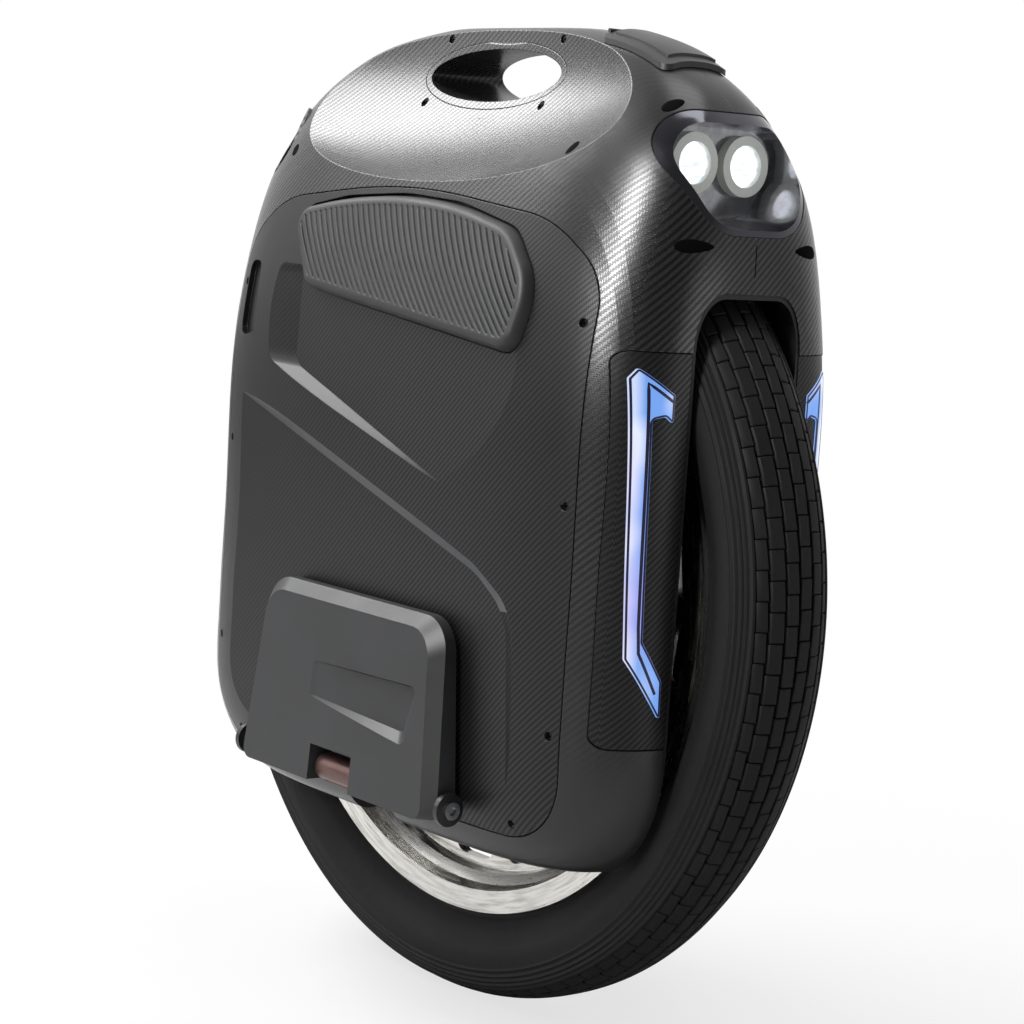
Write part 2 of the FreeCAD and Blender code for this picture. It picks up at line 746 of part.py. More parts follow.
def make_bezel(outer):
    neck = prism(ellipse_wire(HOLE_HALF_LENGTH - BEZEL_CLEARANCE, HOLE_HALF_HEIGHT - BEZEL_CLEARANCE,
                              HOLE_Z, 0), V(0, -HOLE_LEDGE_Y, 0))
    lip = BEZEL_LEDGE - BEZEL_CLEARANCE
    flange = prism(ellipse_wire(HOLE_HALF_LENGTH + lip, HOLE_HALF_HEIGHT + lip, HOLE_Z, -HOLE_LEDGE_Y),
                   V(0, -FAR, 0)).common(outer)
    hole = prism(ellipse_wire(HOLE_HALF_LENGTH - BEZEL_WALL, HOLE_HALF_HEIGHT - BEZEL_WALL, HOLE_Z, 0),
                 V(0, -FAR, 0))
    return neck.fuse(flange).cut(hole)


def make_screws(spots, end):
    pieces = []
    for x, y, z in spots:
        length = end if end else -PANEL_SCREW_LENGTH_END - y - SCREW_SUNK
        right = screw_at(x, y, z, length)
        pieces += [right, mirrored(right)]
    return Part.makeCompound(pieces)


# head lamp

def make_lamp_housing():
    body = lamp_prism(LAMP_BACK, FAR, LAMP_CLEARANCE).common(form(LAMP_FLUSH))
    flange = lamp_prism(LAMP_BACK - LAMP_FLANGE_THICK, LAMP_BACK, -LAMP_FLANGE)
    mouth = inset(lamp_wire(LAMP_FRONT), LAMP_MOUTH_INSET)
    floor = inset(lamp_wire(LAMP_FLOOR), LAMP_FLOOR_INSET)
    bowl = Part.makeLoft([floor, mouth], True, True)
    body = body.fuse(flange).cut(bowl)
    for side in (-LED_SIDE, LED_SIDE):
        body = body.cut(Part.makeCylinder(LED_SEAT_RADIUS, FAR, V(LAMP_FLOOR, side, LED_HEIGHT), V(1, 0, 0)))
    return body.cut(rod_y(WELL_RADIUS + LAMP_WHEEL_GAP, -FAR, FAR))


def make_led_rings():
    rings = []
    for side in (-LED_SIDE, LED_SIDE):
        spot = V(LAMP_FLOOR, side, LED_HEIGHT)
        ring = Part.makeCylinder(LED_RING_RADIUS, LED_RING_HEIGHT, spot, V(1, 0, 0))
        rings.append(ring.cut(Part.makeCylinder(LED_RING_RADIUS - LED_RING_WIDTH, FAR, spot, V(1, 0, 0))))
    return Part.makeCompound(rings)


def make_led_lenses():
    lenses = []
    for side in (-LED_SIDE, LED_SIDE):
        spot = V(LAMP_FLOOR, side, LED_HEIGHT)
        lens = Part.makeCylinder(LED_LENS_RADIUS, LED_LENS_HEIGHT, spot, V(1, 0, 0))
        rim = [e for e in lens.Edges if len(e.Vertexes) == 1 and e.CenterOfMass.x > LAMP_FLOOR]
        lenses.append(lens.makeFillet(LED_LENS_DOME, rim))
    return Part.makeCompound(lenses)


# light panels

def make_light_panel():
    block = light_prism(LIGHT_OUTER - LIGHT_SEAM, LIGHT_LOW + LIGHT_SEAM, LIGHT_HIGH - LIGHT_SEAM, WELL_HALF)
    plate = block.common(skin(LIGHT_FLUSH, LIGHT_THICK))
    pocket = lens_prism(0).cut(form(LENS_FLOOR))
    return plate.cut(pocket)


def make_light_lens():
    return lens_prism(LENS_SEAM).common(skin(LENS_FLUSH, LENS_FLOOR))


# flap, tray, socket, button

def flap_prism(shrink):
    points = ((FLAP_REAR, -FLAP_HALF), (FLAP_FRONT, -FLAP_HALF),
              (FLAP_FRONT, FLAP_HALF), (FLAP_REAR, FLAP_HALF))
    wire = rounded(points, (FLAP_ROUND,) * len(points), on_plan(TRAY_FLOOR))
    if shrink:
        wire = inset(wire, shrink)
    return prism(wire, V(0, 0, FAR))


def make_flap():
    plate = flap_prism(0).common(skin(-FLAP_THICK, -FLAP_GAP))
    step = flap_prism(FLAP_STEP_INSET).common(skin(-FLAP_THICK - FLAP_STEP, -FLAP_GAP))
    bead = rod_y(FLAP_BEAD_RADIUS, -FLAP_BEAD_HALF, FLAP_BEAD_HALF, FLAP_REAR, FLAP_PIN_Z)
    return plate.fuse(step).fuse(bead)


def make_tray():
    block = box(TRAY_REAR, TRAY_FRONT, -TRAY_HALF, TRAY_HALF, TRAY_FLOOR, BODY_TOP)
    block = block.common(form(TRAY_DEPTH_TOP))
    room = box(TRAY_REAR + TRAY_WALL, TRAY_FRONT - TRAY_WALL, -TRAY_HALF + TRAY_WALL, TRAY_HALF - TRAY_WALL,
               TRAY_FLOOR + TRAY_WALL, BODY_TOP)
    return block.cut(room)


def make_socket():
    spot = V(SOCKET_X, 0, TRAY_FLOOR + TRAY_WALL)
    ring = Part.makeCylinder(SOCKET_RADIUS, SOCKET_HEIGHT, spot)
    bore = Part.makeCylinder(SOCKET_BORE, FAR, spot + V(0, 0, SOCKET_HEIGHT - SOCKET_BORE_DEPTH))
    return ring.cut(bore)


def make_button_bezel():
    spot = V(BUTTON_X, 0, TRAY_FLOOR + TRAY_WALL)
    ring = Part.makeCylinder(BUTTON_BEZEL_RADIUS, BUTTON_BEZEL_HEIGHT, spot)
    return ring.cut(Part.makeCylinder(BUTTON_RADIUS + BUTTON_GAP, FAR, spot))


def make_button():
    spot = V(BUTTON_X, 0, TRAY_FLOOR + TRAY_WALL + BUTTON_TRAVEL + BUTTON_GAP)
    cap = Part.makeCylinder(BUTTON_RADIUS, BUTTON_HEIGHT, spot)
    rim = [e for e in cap.Edges if len(e.Vertexes) == 1 and e.CenterOfMass.z > spot.z]
    return cap.makeFillet(BUTTON_GAP * 2, rim)


# rear grille

def make_grille():
    plate = grille_oval(-GRILLE_SEAM, -GRILLE_DEPTH, -GRILLE_DEPTH + GRILLE_THICK)
    holes = []
    for row in range(-GRILLE_ROWS, GRILLE_ROWS + 1):
        shift = GRILLE_PITCH / 2 if row % 2 else 0
        for column in range(-GRILLE_COLUMNS - 1, GRILLE_COLUMNS + 1):
            x = row * GRILLE_PITCH
            y = column * GRILLE_PITCH + shift + GRILLE_PITCH / 2
            reach = math.hypot(x / (GRILLE_HALF_HEIGHT - GRILLE_EDGE), y / (GRILLE_HALF_WIDTH - GRILLE_EDGE))
            if reach < 1:
                holes.append(Part.makeCylinder(GRILLE_HOLE_RADIUS, FAR, V(x, y, -GRILLE_BOSS_DEPTH)))
    return grille_place(plate.cut(Part.makeCompound(holes)))


# wheel

def make_tyre():
    crown = TYRE_RADIUS
    outer = [(BEAD_TOP_RADIUS, BEAD_HALF), (TYRE_WIDEST_RADIUS, TYRE_HALF_WIDTH),
             (TYRE_SHOULDER_RADIUS, TYRE_SHOULDER_HALF), (crown, 0)]
    inner = [(BEAD_TOP_RADIUS, BEAD_HALF - BEAD_THICK),
             (TYRE_WIDEST_RADIUS, TYRE_HALF_WIDTH - TYRE_SIDE_WALL),
             (TYRE_SHOULDER_RADIUS - TYRE_CROWN_WALL, TYRE_SHOULDER_HALF - TYRE_SIDE_WALL),
             (crown - TYRE_CROWN_WALL, 0)]

    def arc_edge(points):
        both = points + [(r, -y) for r, y in reversed(points[:-1])]
        curve = Part.BSplineCurve()
        curve.interpolate([V(0, y, TYRE_RADIUS + r) for r, y in both])
        return curve.toShape()

    def bead(sign):
        spots = [(BEAD_TOP_RADIUS, BEAD_HALF), (BEAD_RADIUS, BEAD_HALF),
                 (BEAD_RADIUS, BEAD_HALF - BEAD_THICK), (BEAD_TOP_RADIUS, BEAD_HALF - BEAD_THICK)]
        ends = [V(0, sign * y, TYRE_RADIUS + r) for r, y in spots]
        return [Part.makeLine(ends[i], ends[i + 1]) for i in range(len(ends) - 1)]

    edges = Part.__sortEdges__([arc_edge(outer), arc_edge(inner)] + bead(1) + bead(-1))
    tyre = Part.Face(Part.Wire(edges)).revolve(axle_point(), V(0, 1, 0), 360)
    for y in TREAD_GROOVES:
        ring = rod_y(TYRE_RADIUS + TREAD_GROOVE_DEPTH, y - TREAD_GROOVE_WIDTH / 2, y + TREAD_GROOVE_WIDTH / 2)
        floor = crown_radius(outer, y) - TREAD_GROOVE_DEPTH
        tyre = tyre.cut(ring.cut(rod_y(floor, -FAR, FAR)))
    return tyre


def crown_radius(outer, y):
    curve = Part.BSplineCurve()
    both = outer + [(r, -s) for r, s in reversed(outer[:-1])]
    curve.interpolate([V(r, s, 0) for r, s in both])
    cut = Part.makeLine(V(TYRE_WIDEST_RADIUS, y, 0), V(TYRE_RADIUS + TYRE_RADIUS, y, 0))
    return curve.toShape().distToShape(cut)[1][0][0].x


def make_rim():
    half = [(RIM_RADIUS, RIM_HALF), (RIM_RADIUS, BEAD_HALF), (RIM_SEAT_RADIUS, BEAD_HALF),
            (RIM_SEAT_SIDE_RADIUS, RIM_SEAT_HALF), (RIM_WELL_RADIUS, RIM_WELL_HALF)]
    back = [(DRUM_INNER_RADIUS, DRUM_HALF), (DRUM_OUTER_RADIUS, DRUM_HALF), (DRUM_OUTER_RADIUS, WEB_HALF),
            (WEB_TOP_RADIUS, WEB_HALF), (RIM_ROOT_RADIUS, RIM_ROOT_HALF),
            (RIM_BACK_SIDE_RADIUS, RIM_BACK_SIDE_HALF), (RIM_BACK_RADIUS, RIM_HALF)]
    upper = back + half
    lower = [(r, -y) for r, y in reversed(upper)]
    rim = spun(upper + lower)
    straight = WEB_SLOT_LENGTH - WEB_SLOT_HEIGHT
    top = TYRE_RADIUS + WEB_SLOT_RADIUS
    slot = box(-straight / 2, straight / 2, -WEB_HALF * 2, WEB_HALF * 2,
               top - WEB_SLOT_HEIGHT / 2, top + WEB_SLOT_HEIGHT / 2)
    for x in (-straight / 2, straight / 2):
        slot = slot.fuse(rod_y(WEB_SLOT_HEIGHT / 2, -WEB_HALF * 2, WEB_HALF * 2, x, top))
    rim = rim.cut(Part.makeCompound(around(slot, WEB_SLOTS)))
    valve = Part.makeCylinder(VALVE_RADIUS + VALVE_CLEARANCE, RIM_WELL_RADIUS - WEB_SLOT_RADIUS,
                              V(0, 0, TYRE_RADIUS + WEB_SLOT_RADIUS))
    screws = []
    for y, turn in ((-DRUM_HALF, 1), (DRUM_HALF, -1)):
        hole = rod_y(COVER_SCREW_RADIUS + SCREW_CLEARANCE, min(y, y + turn * COVER_SCREW_LENGTH),
                     max(y, y + turn * COVER_SCREW_LENGTH), 0, TYRE_RADIUS + COVER_SCREW_CIRCLE)
        screws += around(hole, COVER_SCREWS)
    return rim.cut(Part.makeCompound(screws + [valve]))


def make_valve():
    low = TYRE_RADIUS + RIM_WELL_RADIUS
    stem = Part.makeCylinder(VALVE_RADIUS, VALVE_LENGTH, V(0, 0, low - VALVE_LENGTH))
    flange = Part.makeCylinder(VALVE_FLANGE_RADIUS, VALVE_FLANGE_THICK, V(0, 0, low))
    return stem.fuse(flange)


def make_cover():
    face = DRUM_HALF + COVER_THICK
    boss = DRUM_HALF + COVER_BOSS_DEPTH
    back = boss - COVER_LIP_THICK - BEARING_WIDTH
    seat = BEARING_OUTER_RADIUS + BEARING_FIT
    points = [(COVER_RADIUS, -DRUM_HALF), (COVER_RADIUS, -face), (COVER_BOSS_RADIUS, -face),
              (COVER_BOSS_RADIUS - COVER_THICK, -boss), (COVER_LIP_RADIUS, -boss),
              (COVER_LIP_RADIUS, -boss + COVER_LIP_THICK), (seat, -boss + COVER_LIP_THICK), (seat, -back),
              (COVER_BOSS_RADIUS - COVER_THICK, -back), (COVER_BOSS_RADIUS, -DRUM_HALF)]
    cover = spun(points)
    hole = rod_y(COVER_SCREW_RADIUS + SCREW_CLEARANCE, -face - face, 0, 0, TYRE_RADIUS + COVER_SCREW_CIRCLE)
    return cover.cut(Part.makeCompound(around(hole, COVER_SCREWS)))


def make_cover_screws():
    piece = screw(COVER_SCREW_HEAD_RADIUS, COVER_SCREW_HEAD_HEIGHT, COVER_SCREW_RADIUS, COVER_SCREW_LENGTH)
    side = -DRUM_HALF - COVER_THICK - COVER_SCREW_HEAD_HEIGHT
    piece.translate(V(0, side, TYRE_RADIUS + COVER_SCREW_CIRCLE))
    right = around(piece, COVER_SCREWS)
    return Part.makeCompound(right + [mirrored(s) for s in right])


def make_bearings():
    end = DRUM_HALF + COVER_BOSS_DEPTH - COVER_LIP_THICK
    ring = rod_y(BEARING_OUTER_RADIUS, -end, -end + BEARING_WIDTH)
    ring = ring.cut(rod_y(AXLE_RADIUS + BEARING_FIT, -FAR, FAR))
    return Part.makeCompound([ring, mirrored(ring)])


def make_magnets():
    ring = rod_y(DRUM_INNER_RADIUS - MAGNET_CLEARANCE, -MAGNET_HALF, MAGNET_HALF)
    return ring.cut(rod_y(DRUM_INNER_RADIUS - MAGNET_THICK, -FAR, FAR))


# axle, stator, hangers

def make_axle():
    shaft = rod_y(AXLE_RADIUS, -WELL_HALF, WELL_HALF)
    ends = rod_y(AXLE_END_RADIUS, -AXLE_END, AXLE_END)
    return shaft.fuse(ends).fuse(rod_y(CARRIER_RADIUS, -CARRIER_HALF, CARRIER_HALF))


def make_stator():
    ring = rod_y(STATOR_RADIUS, -STATOR_HALF, STATOR_HALF).cut(rod_y(STATOR_INNER_RADIUS, -FAR, FAR))
    ring = ring.cut(rod_y(CARRIER_RADIUS + STATOR_CLEARANCE, -STATOR_HALF, CARRIER_HALF))
    top = TYRE_RADIUS + STATOR_RADIUS
    half = STATOR_SLOT_WIDTH / 2
    slot = box(-half, half, -FAR, FAR, top - STATOR_SLOT_DEPTH, top + STATOR_SLOT_OVER)
    return ring.cut(Part.makeCompound(around(slot, STATOR_SLOTS)))


def make_hanger():
    inner = -WELL_HALF
    outer = inner - HANGER_THICK
    points = ((-HANGER_HALF, TONGUE_LOW), (HANGER_HALF, TONGUE_LOW),
              (HANGER_HALF, HANGER_TOP), (-HANGER_HALF, HANGER_TOP))
    wire = rounded(points, (HANGER_LOW_ROUND, HANGER_LOW_ROUND, HANGER_ROUND, HANGER_ROUND), on_side(inner))
    plate = prism(wire, V(0, outer - inner, 0))
    tongue = box(-TONGUE_HALF, TONGUE_HALF, -PIN_Y, inner, TONGUE_LOW, TONGUE_TOP)
    eye = Part.makeCylinder(TONGUE_END_RADIUS, TONGUE_HALF * 2, V(-TONGUE_HALF, -PIN_Y, PIN_Z), V(1, 0, 0))
    body = plate.fuse(tongue.cut(tongue_nose())).fuse(eye)
    return body.cut(pin_bore()).cut(rod_y(AXLE_END_RADIUS + NUT_CLEARANCE, -FAR, 0))


def tongue_nose():
    """Trims the tongue back to the round eye."""
    half = TONGUE_HALF * 2
    return box(-half, half, -PIN_Y, -PIN_Y + TONGUE_END_RADIUS / 2,
               PIN_Z + TONGUE_END_RADIUS, TONGUE_TOP + TONGUE_TOP)


def hexagon(width, place):
    """Closed six-sided wire, flats width apart."""
    corners = []
    for i in range(HEX_SIDES):
        angle = 2 * math.pi * i / HEX_SIDES
        reach = width / 2 / math.cos(math.pi / HEX_SIDES)
        corners.append(place(reach * math.cos(angle), reach * math.sin(angle)))
    return Part.makePolygon(corners + corners[:1])


def make_nuts():
    outer = -WELL_HALF - HANGER_THICK
    nut = prism(hexagon(NUT_WIDTH, lambda x, z: V(x, outer, TYRE_RADIUS + z)), V(0, -NUT_HEIGHT, 0))
    nut = nut.cut(rod_y(AXLE_END_RADIUS + NUT_CLEARANCE, -FAR, 0))
    return Part.makeCompound([nut, mirrored(nut)])


# pedals

def pedal_outer(z):
    share = (z - PEDAL_LOW) / (PEDAL_TOP - PEDAL_LOW)
    return PEDAL_LOW_OUTER_Y + (PEDAL_TOP_OUTER_Y - PEDAL_LOW_OUTER_Y) * share


def pedal_wire(shrink, depth):
    """Pedal outline; depth None is the flat foot side, else below the outer face."""
    low = PEDAL_HALF_LOW - shrink
    top = PEDAL_HALF_TOP - shrink
    high = PEDAL_TOP - shrink
    points = ((-low, PEDAL_LOW), (low, PEDAL_LOW), (top, high), (-top, high))
    corner = PEDAL_TOP_ROUND - shrink / 2
    rounds = (PEDAL_LOW_ROUND, PEDAL_LOW_ROUND, corner, corner)
    if depth is None:
        return rounded(points, rounds, on_side(-PEDAL_INNER_Y))
    return rounded(points, rounds, lambda x, z: V(x, depth - pedal_outer(z), z))


def grab_floor(x, z):
    depth = GRAB_DEPTH * (x - GRAB_START) / (GRAB_END - GRAB_START)
    return V(x, depth - pedal_outer(z), z)


def pedal_grab():
    """Finger pocket in the underside, deeper towards the front."""
    floor = rounded(GRAB_FLOOR, GRAB_FLOOR_ROUNDS, grab_floor)
    edge = rounded(GRAB_EDGE, GRAB_EDGE_ROUNDS, lambda x, z: V(x, -GRAB_OVER - pedal_outer(z), z))
    return Part.makeLoft([floor, edge], True, True)


def pin_bore():
    return Part.makeCylinder(PIN_RADIUS + PIN_CLEARANCE, FAR, V(-FAR / 2, -PIN_Y, PIN_Z), V(1, 0, 0))


def make_pedal():
    sections = [pedal_wire(0, None), pedal_wire(0, PEDAL_CHAMFER), pedal_wire(PEDAL_CHAMFER, 0)]
    plate = Part.makeLoft(sections, True, True).cut(pedal_grab())
    notch = box(-PEDAL_CUT_HALF, PEDAL_CUT_HALF, -FAR, 0, 0, PEDAL_CUT_TOP)
    return plate.cut(notch).cut(pin_bore())


def make_pin():
    rod = Part.makeCylinder(PIN_RADIUS, PIN_HALF_LENGTH * 2, V(-PIN_HALF_LENGTH, -PIN_Y, PIN_Z), V(1, 0, 0))
    for side in (-1, 1):
        base = side * PIN_HALF_LENGTH
        head = Part.makeCylinder(PIN_HEAD_RADIUS, PIN_HEAD_HEIGHT, V(base, -PIN_Y, PIN_Z), V(side, 0, 0))
        deep = base + side * (PIN_HEAD_HEIGHT - PIN_SOCKET_DEPTH)
        socket = hexagon(PIN_SOCKET_WIDTH, lambda y, z: V(deep, y - PIN_Y, z + PIN_Z))
        rod = rod.fuse(head).cut(prism(socket, V(side * PIN_HEAD_HEIGHT, 0, 0)))
    return rod


def make_caps():
    caps = []
    for x in (-PIN_HALF_LENGTH, PIN_HALF_LENGTH - CAP_THICK):
        cap = Part.makeCylinder(CAP_RADIUS, CAP_THICK, V(x, -PIN_Y, PIN_Z), V(1, 0, 0))
        caps.append(cap.cut(pin_bore()))
    return Part.makeCompound(caps)


def make_grip():
    sheet = prism(inset(pedal_wire(0, None), GRIP_INSET), V(0, GRIP_THICK, 0))
    return sheet.common(box(-FAR, FAR, -FAR, 0, PEDAL_CUT_TOP, FAR))


# inside the bays

def make_pack():
    points = ((PACK_INNER_X, PACK_LOW), (PACK_OUTER_X, PACK_LOW),
              (PACK_OUTER_X, PACK_HIGH), (PACK_INNER_X, PACK_HIGH))
    wire = rounded(points, (PACK_ROUND,) * len(points), on_side(-WELL_HALF))
    return prism(wire, V(0, -PACK_THICK, 0))


def make_sink():
    sink = box(-SINK_HALF, SINK_HALF, -WELL_HALF - SINK_BASE, -WELL_HALF, SINK_LOW, SINK_HIGH)
    pitch = (SINK_HALF - SINK_FIN) / (SINK_FINS - 1)
    for i in range(SINK_FINS):
        x = -SINK_HALF + i * pitch
        fin = box(x, x + SINK_FIN, -WELL_HALF - SINK_BASE - SINK_FIN_HEIGHT, -WELL_HALF, SINK_LOW, SINK_HIGH)
        sink = sink.fuse(fin)
    return sink


def make_board():
    y = -WELL_HALF - SINK_BASE
    return box(SINK_HALF - BOARD_LENGTH, SINK_HALF, y - BOARD_THICK, y, SINK_LOW, SINK_HIGH)


def make_fan():
    frame = box(-FAN_SIZE / 2, FAN_SIZE / 2, WELL_HALF, WELL_HALF + FAN_THICK, FAN_LOW, FAN_LOW + FAN_SIZE)
    return frame.cut(rod_y(FAN_BORE, 0, FAR, 0, FAN_LOW + FAN_SIZE / 2))


def main():
    outer = outer_body()
    handle_spots = handle_screw_spots(outer)
    panel_spots = panel_screw_spots(form(0))
    save_pair("shell", make_shell(outer, handle_spots, panel_spots))
    save_pair("side_panel", make_panel(panel_spots))
    save_pair("knee_pad", make_pad())
    save_pair("handle_bezel", make_bezel(outer))
    save("panel_screws", make_screws(panel_spots, 0))
    save("handle_screws", make_screws(handle_spots, HANDLE_SCREW_LENGTH - SCREW_SUNK - SCREW_HEAD_HEIGHT))
    save("wheel_arch", make_arch())
    save("headlamp_bowl", make_lamp_housing())
    save("headlamp_rings", make_led_rings())
    save("headlamp_lenses", make_led_lenses())
    panel = make_light_panel()
    lens = make_light_lens()
    save_pair("front_light_panel", panel)
    save_pair("front_light_lens", lens)
    save_pair("rear_light_panel", rear(panel))
    save_pair("rear_light_lens", rear(lens))
    save("port_flap", make_flap())
    save("port_tray", make_tray())
    save("charge_socket", make_socket())
    save("button_bezel", make_button_bezel())
    save("power_button", make_button())
    save_pair("speaker_grille", make_grille())
    save("tyre", make_tyre())
    save("rim", make_rim())
    save("valve", make_valve())
    save_pair("motor_cover", make_cover())
    save("cover_screws", make_cover_screws())
    save("wheel_bearings", make_bearings())
    save("magnet_ring", make_magnets())
    save("axle", make_axle())
    save("stator", make_stator())
    save_pair("pedal_hanger", make_hanger())
    save("axle_nuts", make_nuts())
    save_pair("pedal", make_pedal())
    save_pair("pedal_pin", make_pin())
    save_pair("pedal_caps", make_caps())
    save_pair("pedal_grip", make_grip())
    pack = make_pack()
    save_pair("front_battery", pack)
    save_pair("rear_battery", rear(pack))
    save("heat_sink", make_sink())
    save("control_board", make_board())
    save("cooling_fan", make_fan())


main()
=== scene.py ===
"""Looks of an electric unicycle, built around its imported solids.  Metres, +X forward, +Z up."""

import math

import bmesh
import bpy
import numpy as np
from mathutils import Matrix, Vector
from mathutils.bvhtree import BVHTree


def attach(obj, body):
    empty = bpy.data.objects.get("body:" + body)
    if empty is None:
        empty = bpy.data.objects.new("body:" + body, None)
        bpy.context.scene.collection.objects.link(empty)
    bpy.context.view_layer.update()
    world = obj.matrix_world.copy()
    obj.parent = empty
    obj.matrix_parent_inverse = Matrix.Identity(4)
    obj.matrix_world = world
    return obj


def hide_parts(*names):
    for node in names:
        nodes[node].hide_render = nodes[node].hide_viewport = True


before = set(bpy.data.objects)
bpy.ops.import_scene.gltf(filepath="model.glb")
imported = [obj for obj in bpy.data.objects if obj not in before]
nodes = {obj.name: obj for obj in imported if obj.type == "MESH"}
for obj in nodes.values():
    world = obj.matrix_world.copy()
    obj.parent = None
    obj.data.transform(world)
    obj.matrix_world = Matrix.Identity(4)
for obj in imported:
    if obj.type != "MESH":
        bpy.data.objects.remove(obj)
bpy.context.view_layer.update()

MM = 0.001
AXLE_HEIGHT = 0.300

# Small tools


def linear(code):
    """sRGB hex colour as linear RGBA."""
    channels = [int(code[i:i + 2], 16) / 255 for i in (1, 3, 5)]
    return [c / 12.92 if c <= 0.04045 else ((c + 0.055) / 1.055) ** 2.4 for c in channels] + [1.0]


def put(tree, kind, inputs=None, **settings):
    """Adds one node to a tree: settings are its own, inputs are values or output sockets."""
    made = tree.nodes.new(kind)
    for name, value in settings.items():
        setattr(made, name, value)
    for key, value in (inputs or {}).items():
        if isinstance(value, bpy.types.NodeSocket):
            tree.links.new(value, made.inputs[key])
        else:
            made.inputs[key].default_value = value
    return made


def calc(tree, operation, *values, **settings):
    """Socket of one sum on numbers."""
    return put(tree, "ShaderNodeMath", dict(enumerate(values)), operation=operation, **settings).outputs[0]


def ranged(tree, value, low=0.0, high=1.0, least=0.0, most=1.0, **settings):
    """Socket that runs from least to most while the value runs from low to high."""
    ends = {"Value": value, "From Min": low, "From Max": high, "To Min": least, "To Max": most}
    return put(tree, "ShaderNodeMapRange", ends, **settings).outputs["Result"]


def blended(tree, share, low, high):
    """Socket of a number that runs from low to high with the share."""
    return put(tree, "ShaderNodeMix", {0: share, 2: low, 3: high}, data_type="FLOAT").outputs[0]


def tinted(tree, share, low, high):
    """Socket of a colour that runs from low to high with the share; both are hex codes or sockets."""
    low, high = (linear(c) if isinstance(c, str) else c for c in (low, high))
    return put(tree, "ShaderNodeMix", {0: share, 6: low, 7: high}, data_type="RGBA").outputs[2]


def axes(tree, vector):
    """The parts of a vector, as sockets named X, Y and Z."""
    return put(tree, "ShaderNodeSeparateXYZ", {0: vector}).outputs


def noise(tree, vector, size, detail, roughness=0.5):
    """Socket of a noise whose patches are about size millimetres wide."""
    inputs = {"Vector": vector, "Scale": 1 / (size * MM), "Detail": detail, "Roughness": roughness}
    return put(tree, "ShaderNodeTexNoise", inputs).outputs[0]


def feed(tree, shader, sockets):
    """Links sockets to the shader's own inputs."""
    for name, socket in sockets.items():
        tree.links.new(socket, shader.inputs[name])


def surface(name, sockets):
    """A material whose constants sit on the shader's own sockets."""
    made = bpy.data.materials.new(name)
    made.use_nodes = True
    shader = made.node_tree.nodes["Principled BSDF"]
    for socket, value in sockets.items():
        shader.inputs[socket].default_value = value
    return made, made.node_tree, shader


def shown(name, mesh, body, slot, *stands_for):
    """Puts a finished mesh in the scene on its body."""
    piece = bpy.data.objects.new(name, mesh)
    bpy.context.scene.collection.objects.link(piece)
    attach(piece, body)
    if stands_for:
        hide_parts(*stands_for)
    return piece


def band(first, rows, count, around=False):
    """Quads between rows of points that each close on themselves; around joins the last row to the first."""
    faces = []
    for i in range(rows if around else rows - 1):
        a, b = first + i * count, first + (i + 1) % rows * count
        for k in range(count):
            n = (k + 1) % count
            faces.append((a + k, a + n, b + n, b + k))
    return faces


def mesh_of(name, points, faces, smooth=True):
    mesh = bpy.data.meshes.new(name)
    mesh.from_pydata([tuple(p) for p in points], [], faces)
    form = bmesh.new()
    form.from_mesh(mesh)
    bmesh.ops.remove_doubles(form, verts=form.verts, dist=1e-6)
    bmesh.ops.recalc_face_normals(form, faces=form.faces)
    form.to_mesh(mesh)
    form.free()
    mesh.polygons.foreach_set("use_smooth", [smooth] * len(mesh.polygons))
    return mesh


def sharp_by_angle(mesh, degrees):
    """Smooth shading with hard edges past an angle."""
    form = bmesh.new()
    form.from_mesh(mesh)
    for edge in form.edges:
        if len(edge.link_faces) == 2:
            edge.smooth = edge.calc_face_angle(0) < math.radians(degrees)
    for face in form.faces:
        face.smooth = True
    form.to_mesh(mesh)
    form.free()


def run_nodes(mesh, tree, inputs):
    """Runs a geometry tree on a mesh and gives the result as a plain mesh."""
    carrier = bpy.data.objects.new(mesh.name, mesh)
    bpy.context.scene.collection.objects.link(carrier)
    modifier = carrier.modifiers.new(tree.name, "NODES")
    modifier.node_group = tree
    for item in tree.interface.items_tree:
        if item.name in inputs:
            modifier[item.identifier] = inputs[item.name]
    bpy.context.view_layer.update()
    graph = bpy.context.evaluated_depsgraph_get()
    made = bpy.data.meshes.new_from_object(carrier.evaluated_get(graph))
    bpy.data.objects.remove(carrier)
    return made


def rounded_outline(corners, rounds, step):
    """Closed outline with an arc at each corner, as points about step apart."""
    points = []
    count = len(corners)
    for i in range(count):
        here = Vector(corners[i])
        to_last = (Vector(corners[i - 1]) - here).normalized()
        to_next = (Vector(corners[(i + 1) % count]) - here).normalized()
        half = to_last.angle(to_next) / 2
        reach = rounds[i] / math.tan(half)
        centre = here + (to_last + to_next).normalized() * rounds[i] / math.sin(half)
        start, end = here + to_last * reach - centre, here + to_next * reach - centre
        turn = start.angle_signed(end)
        parts = max(2, int(abs(turn) * rounds[i] / step))
        for k in range(parts + 1):
            angle = -turn * k / parts
            c, s = math.cos(angle), math.sin(angle)
            points.append(centre + Vector((start.x * c - start.y * s, start.x * s + start.y * c)))
    return points


def both(*names):
    return [side + name for name in names for side in ("right_", "left_")]


# Materials

# threads in one repeat of the weave, and below which step of it the warp lies on top
TWILL_REPEAT = 4.0
WARP_ON_TOP = 1.5
# a face that rises past this wears the weave drawn from above
TOP_RISE = 0.7
# a weave that fades settles at this value, its mean tone
WEAVE_MEAN = 0.4
# rounding of the moulded edges that the light sees, in millimetres
EDGE_ROUND = 0.9
# the brow over the lamp, where the film is drawn tight and its weave hardly shows: rise of the faces, fade
BROW_RISE = (0.3, 0.55)
BROW_FADE = 0.85
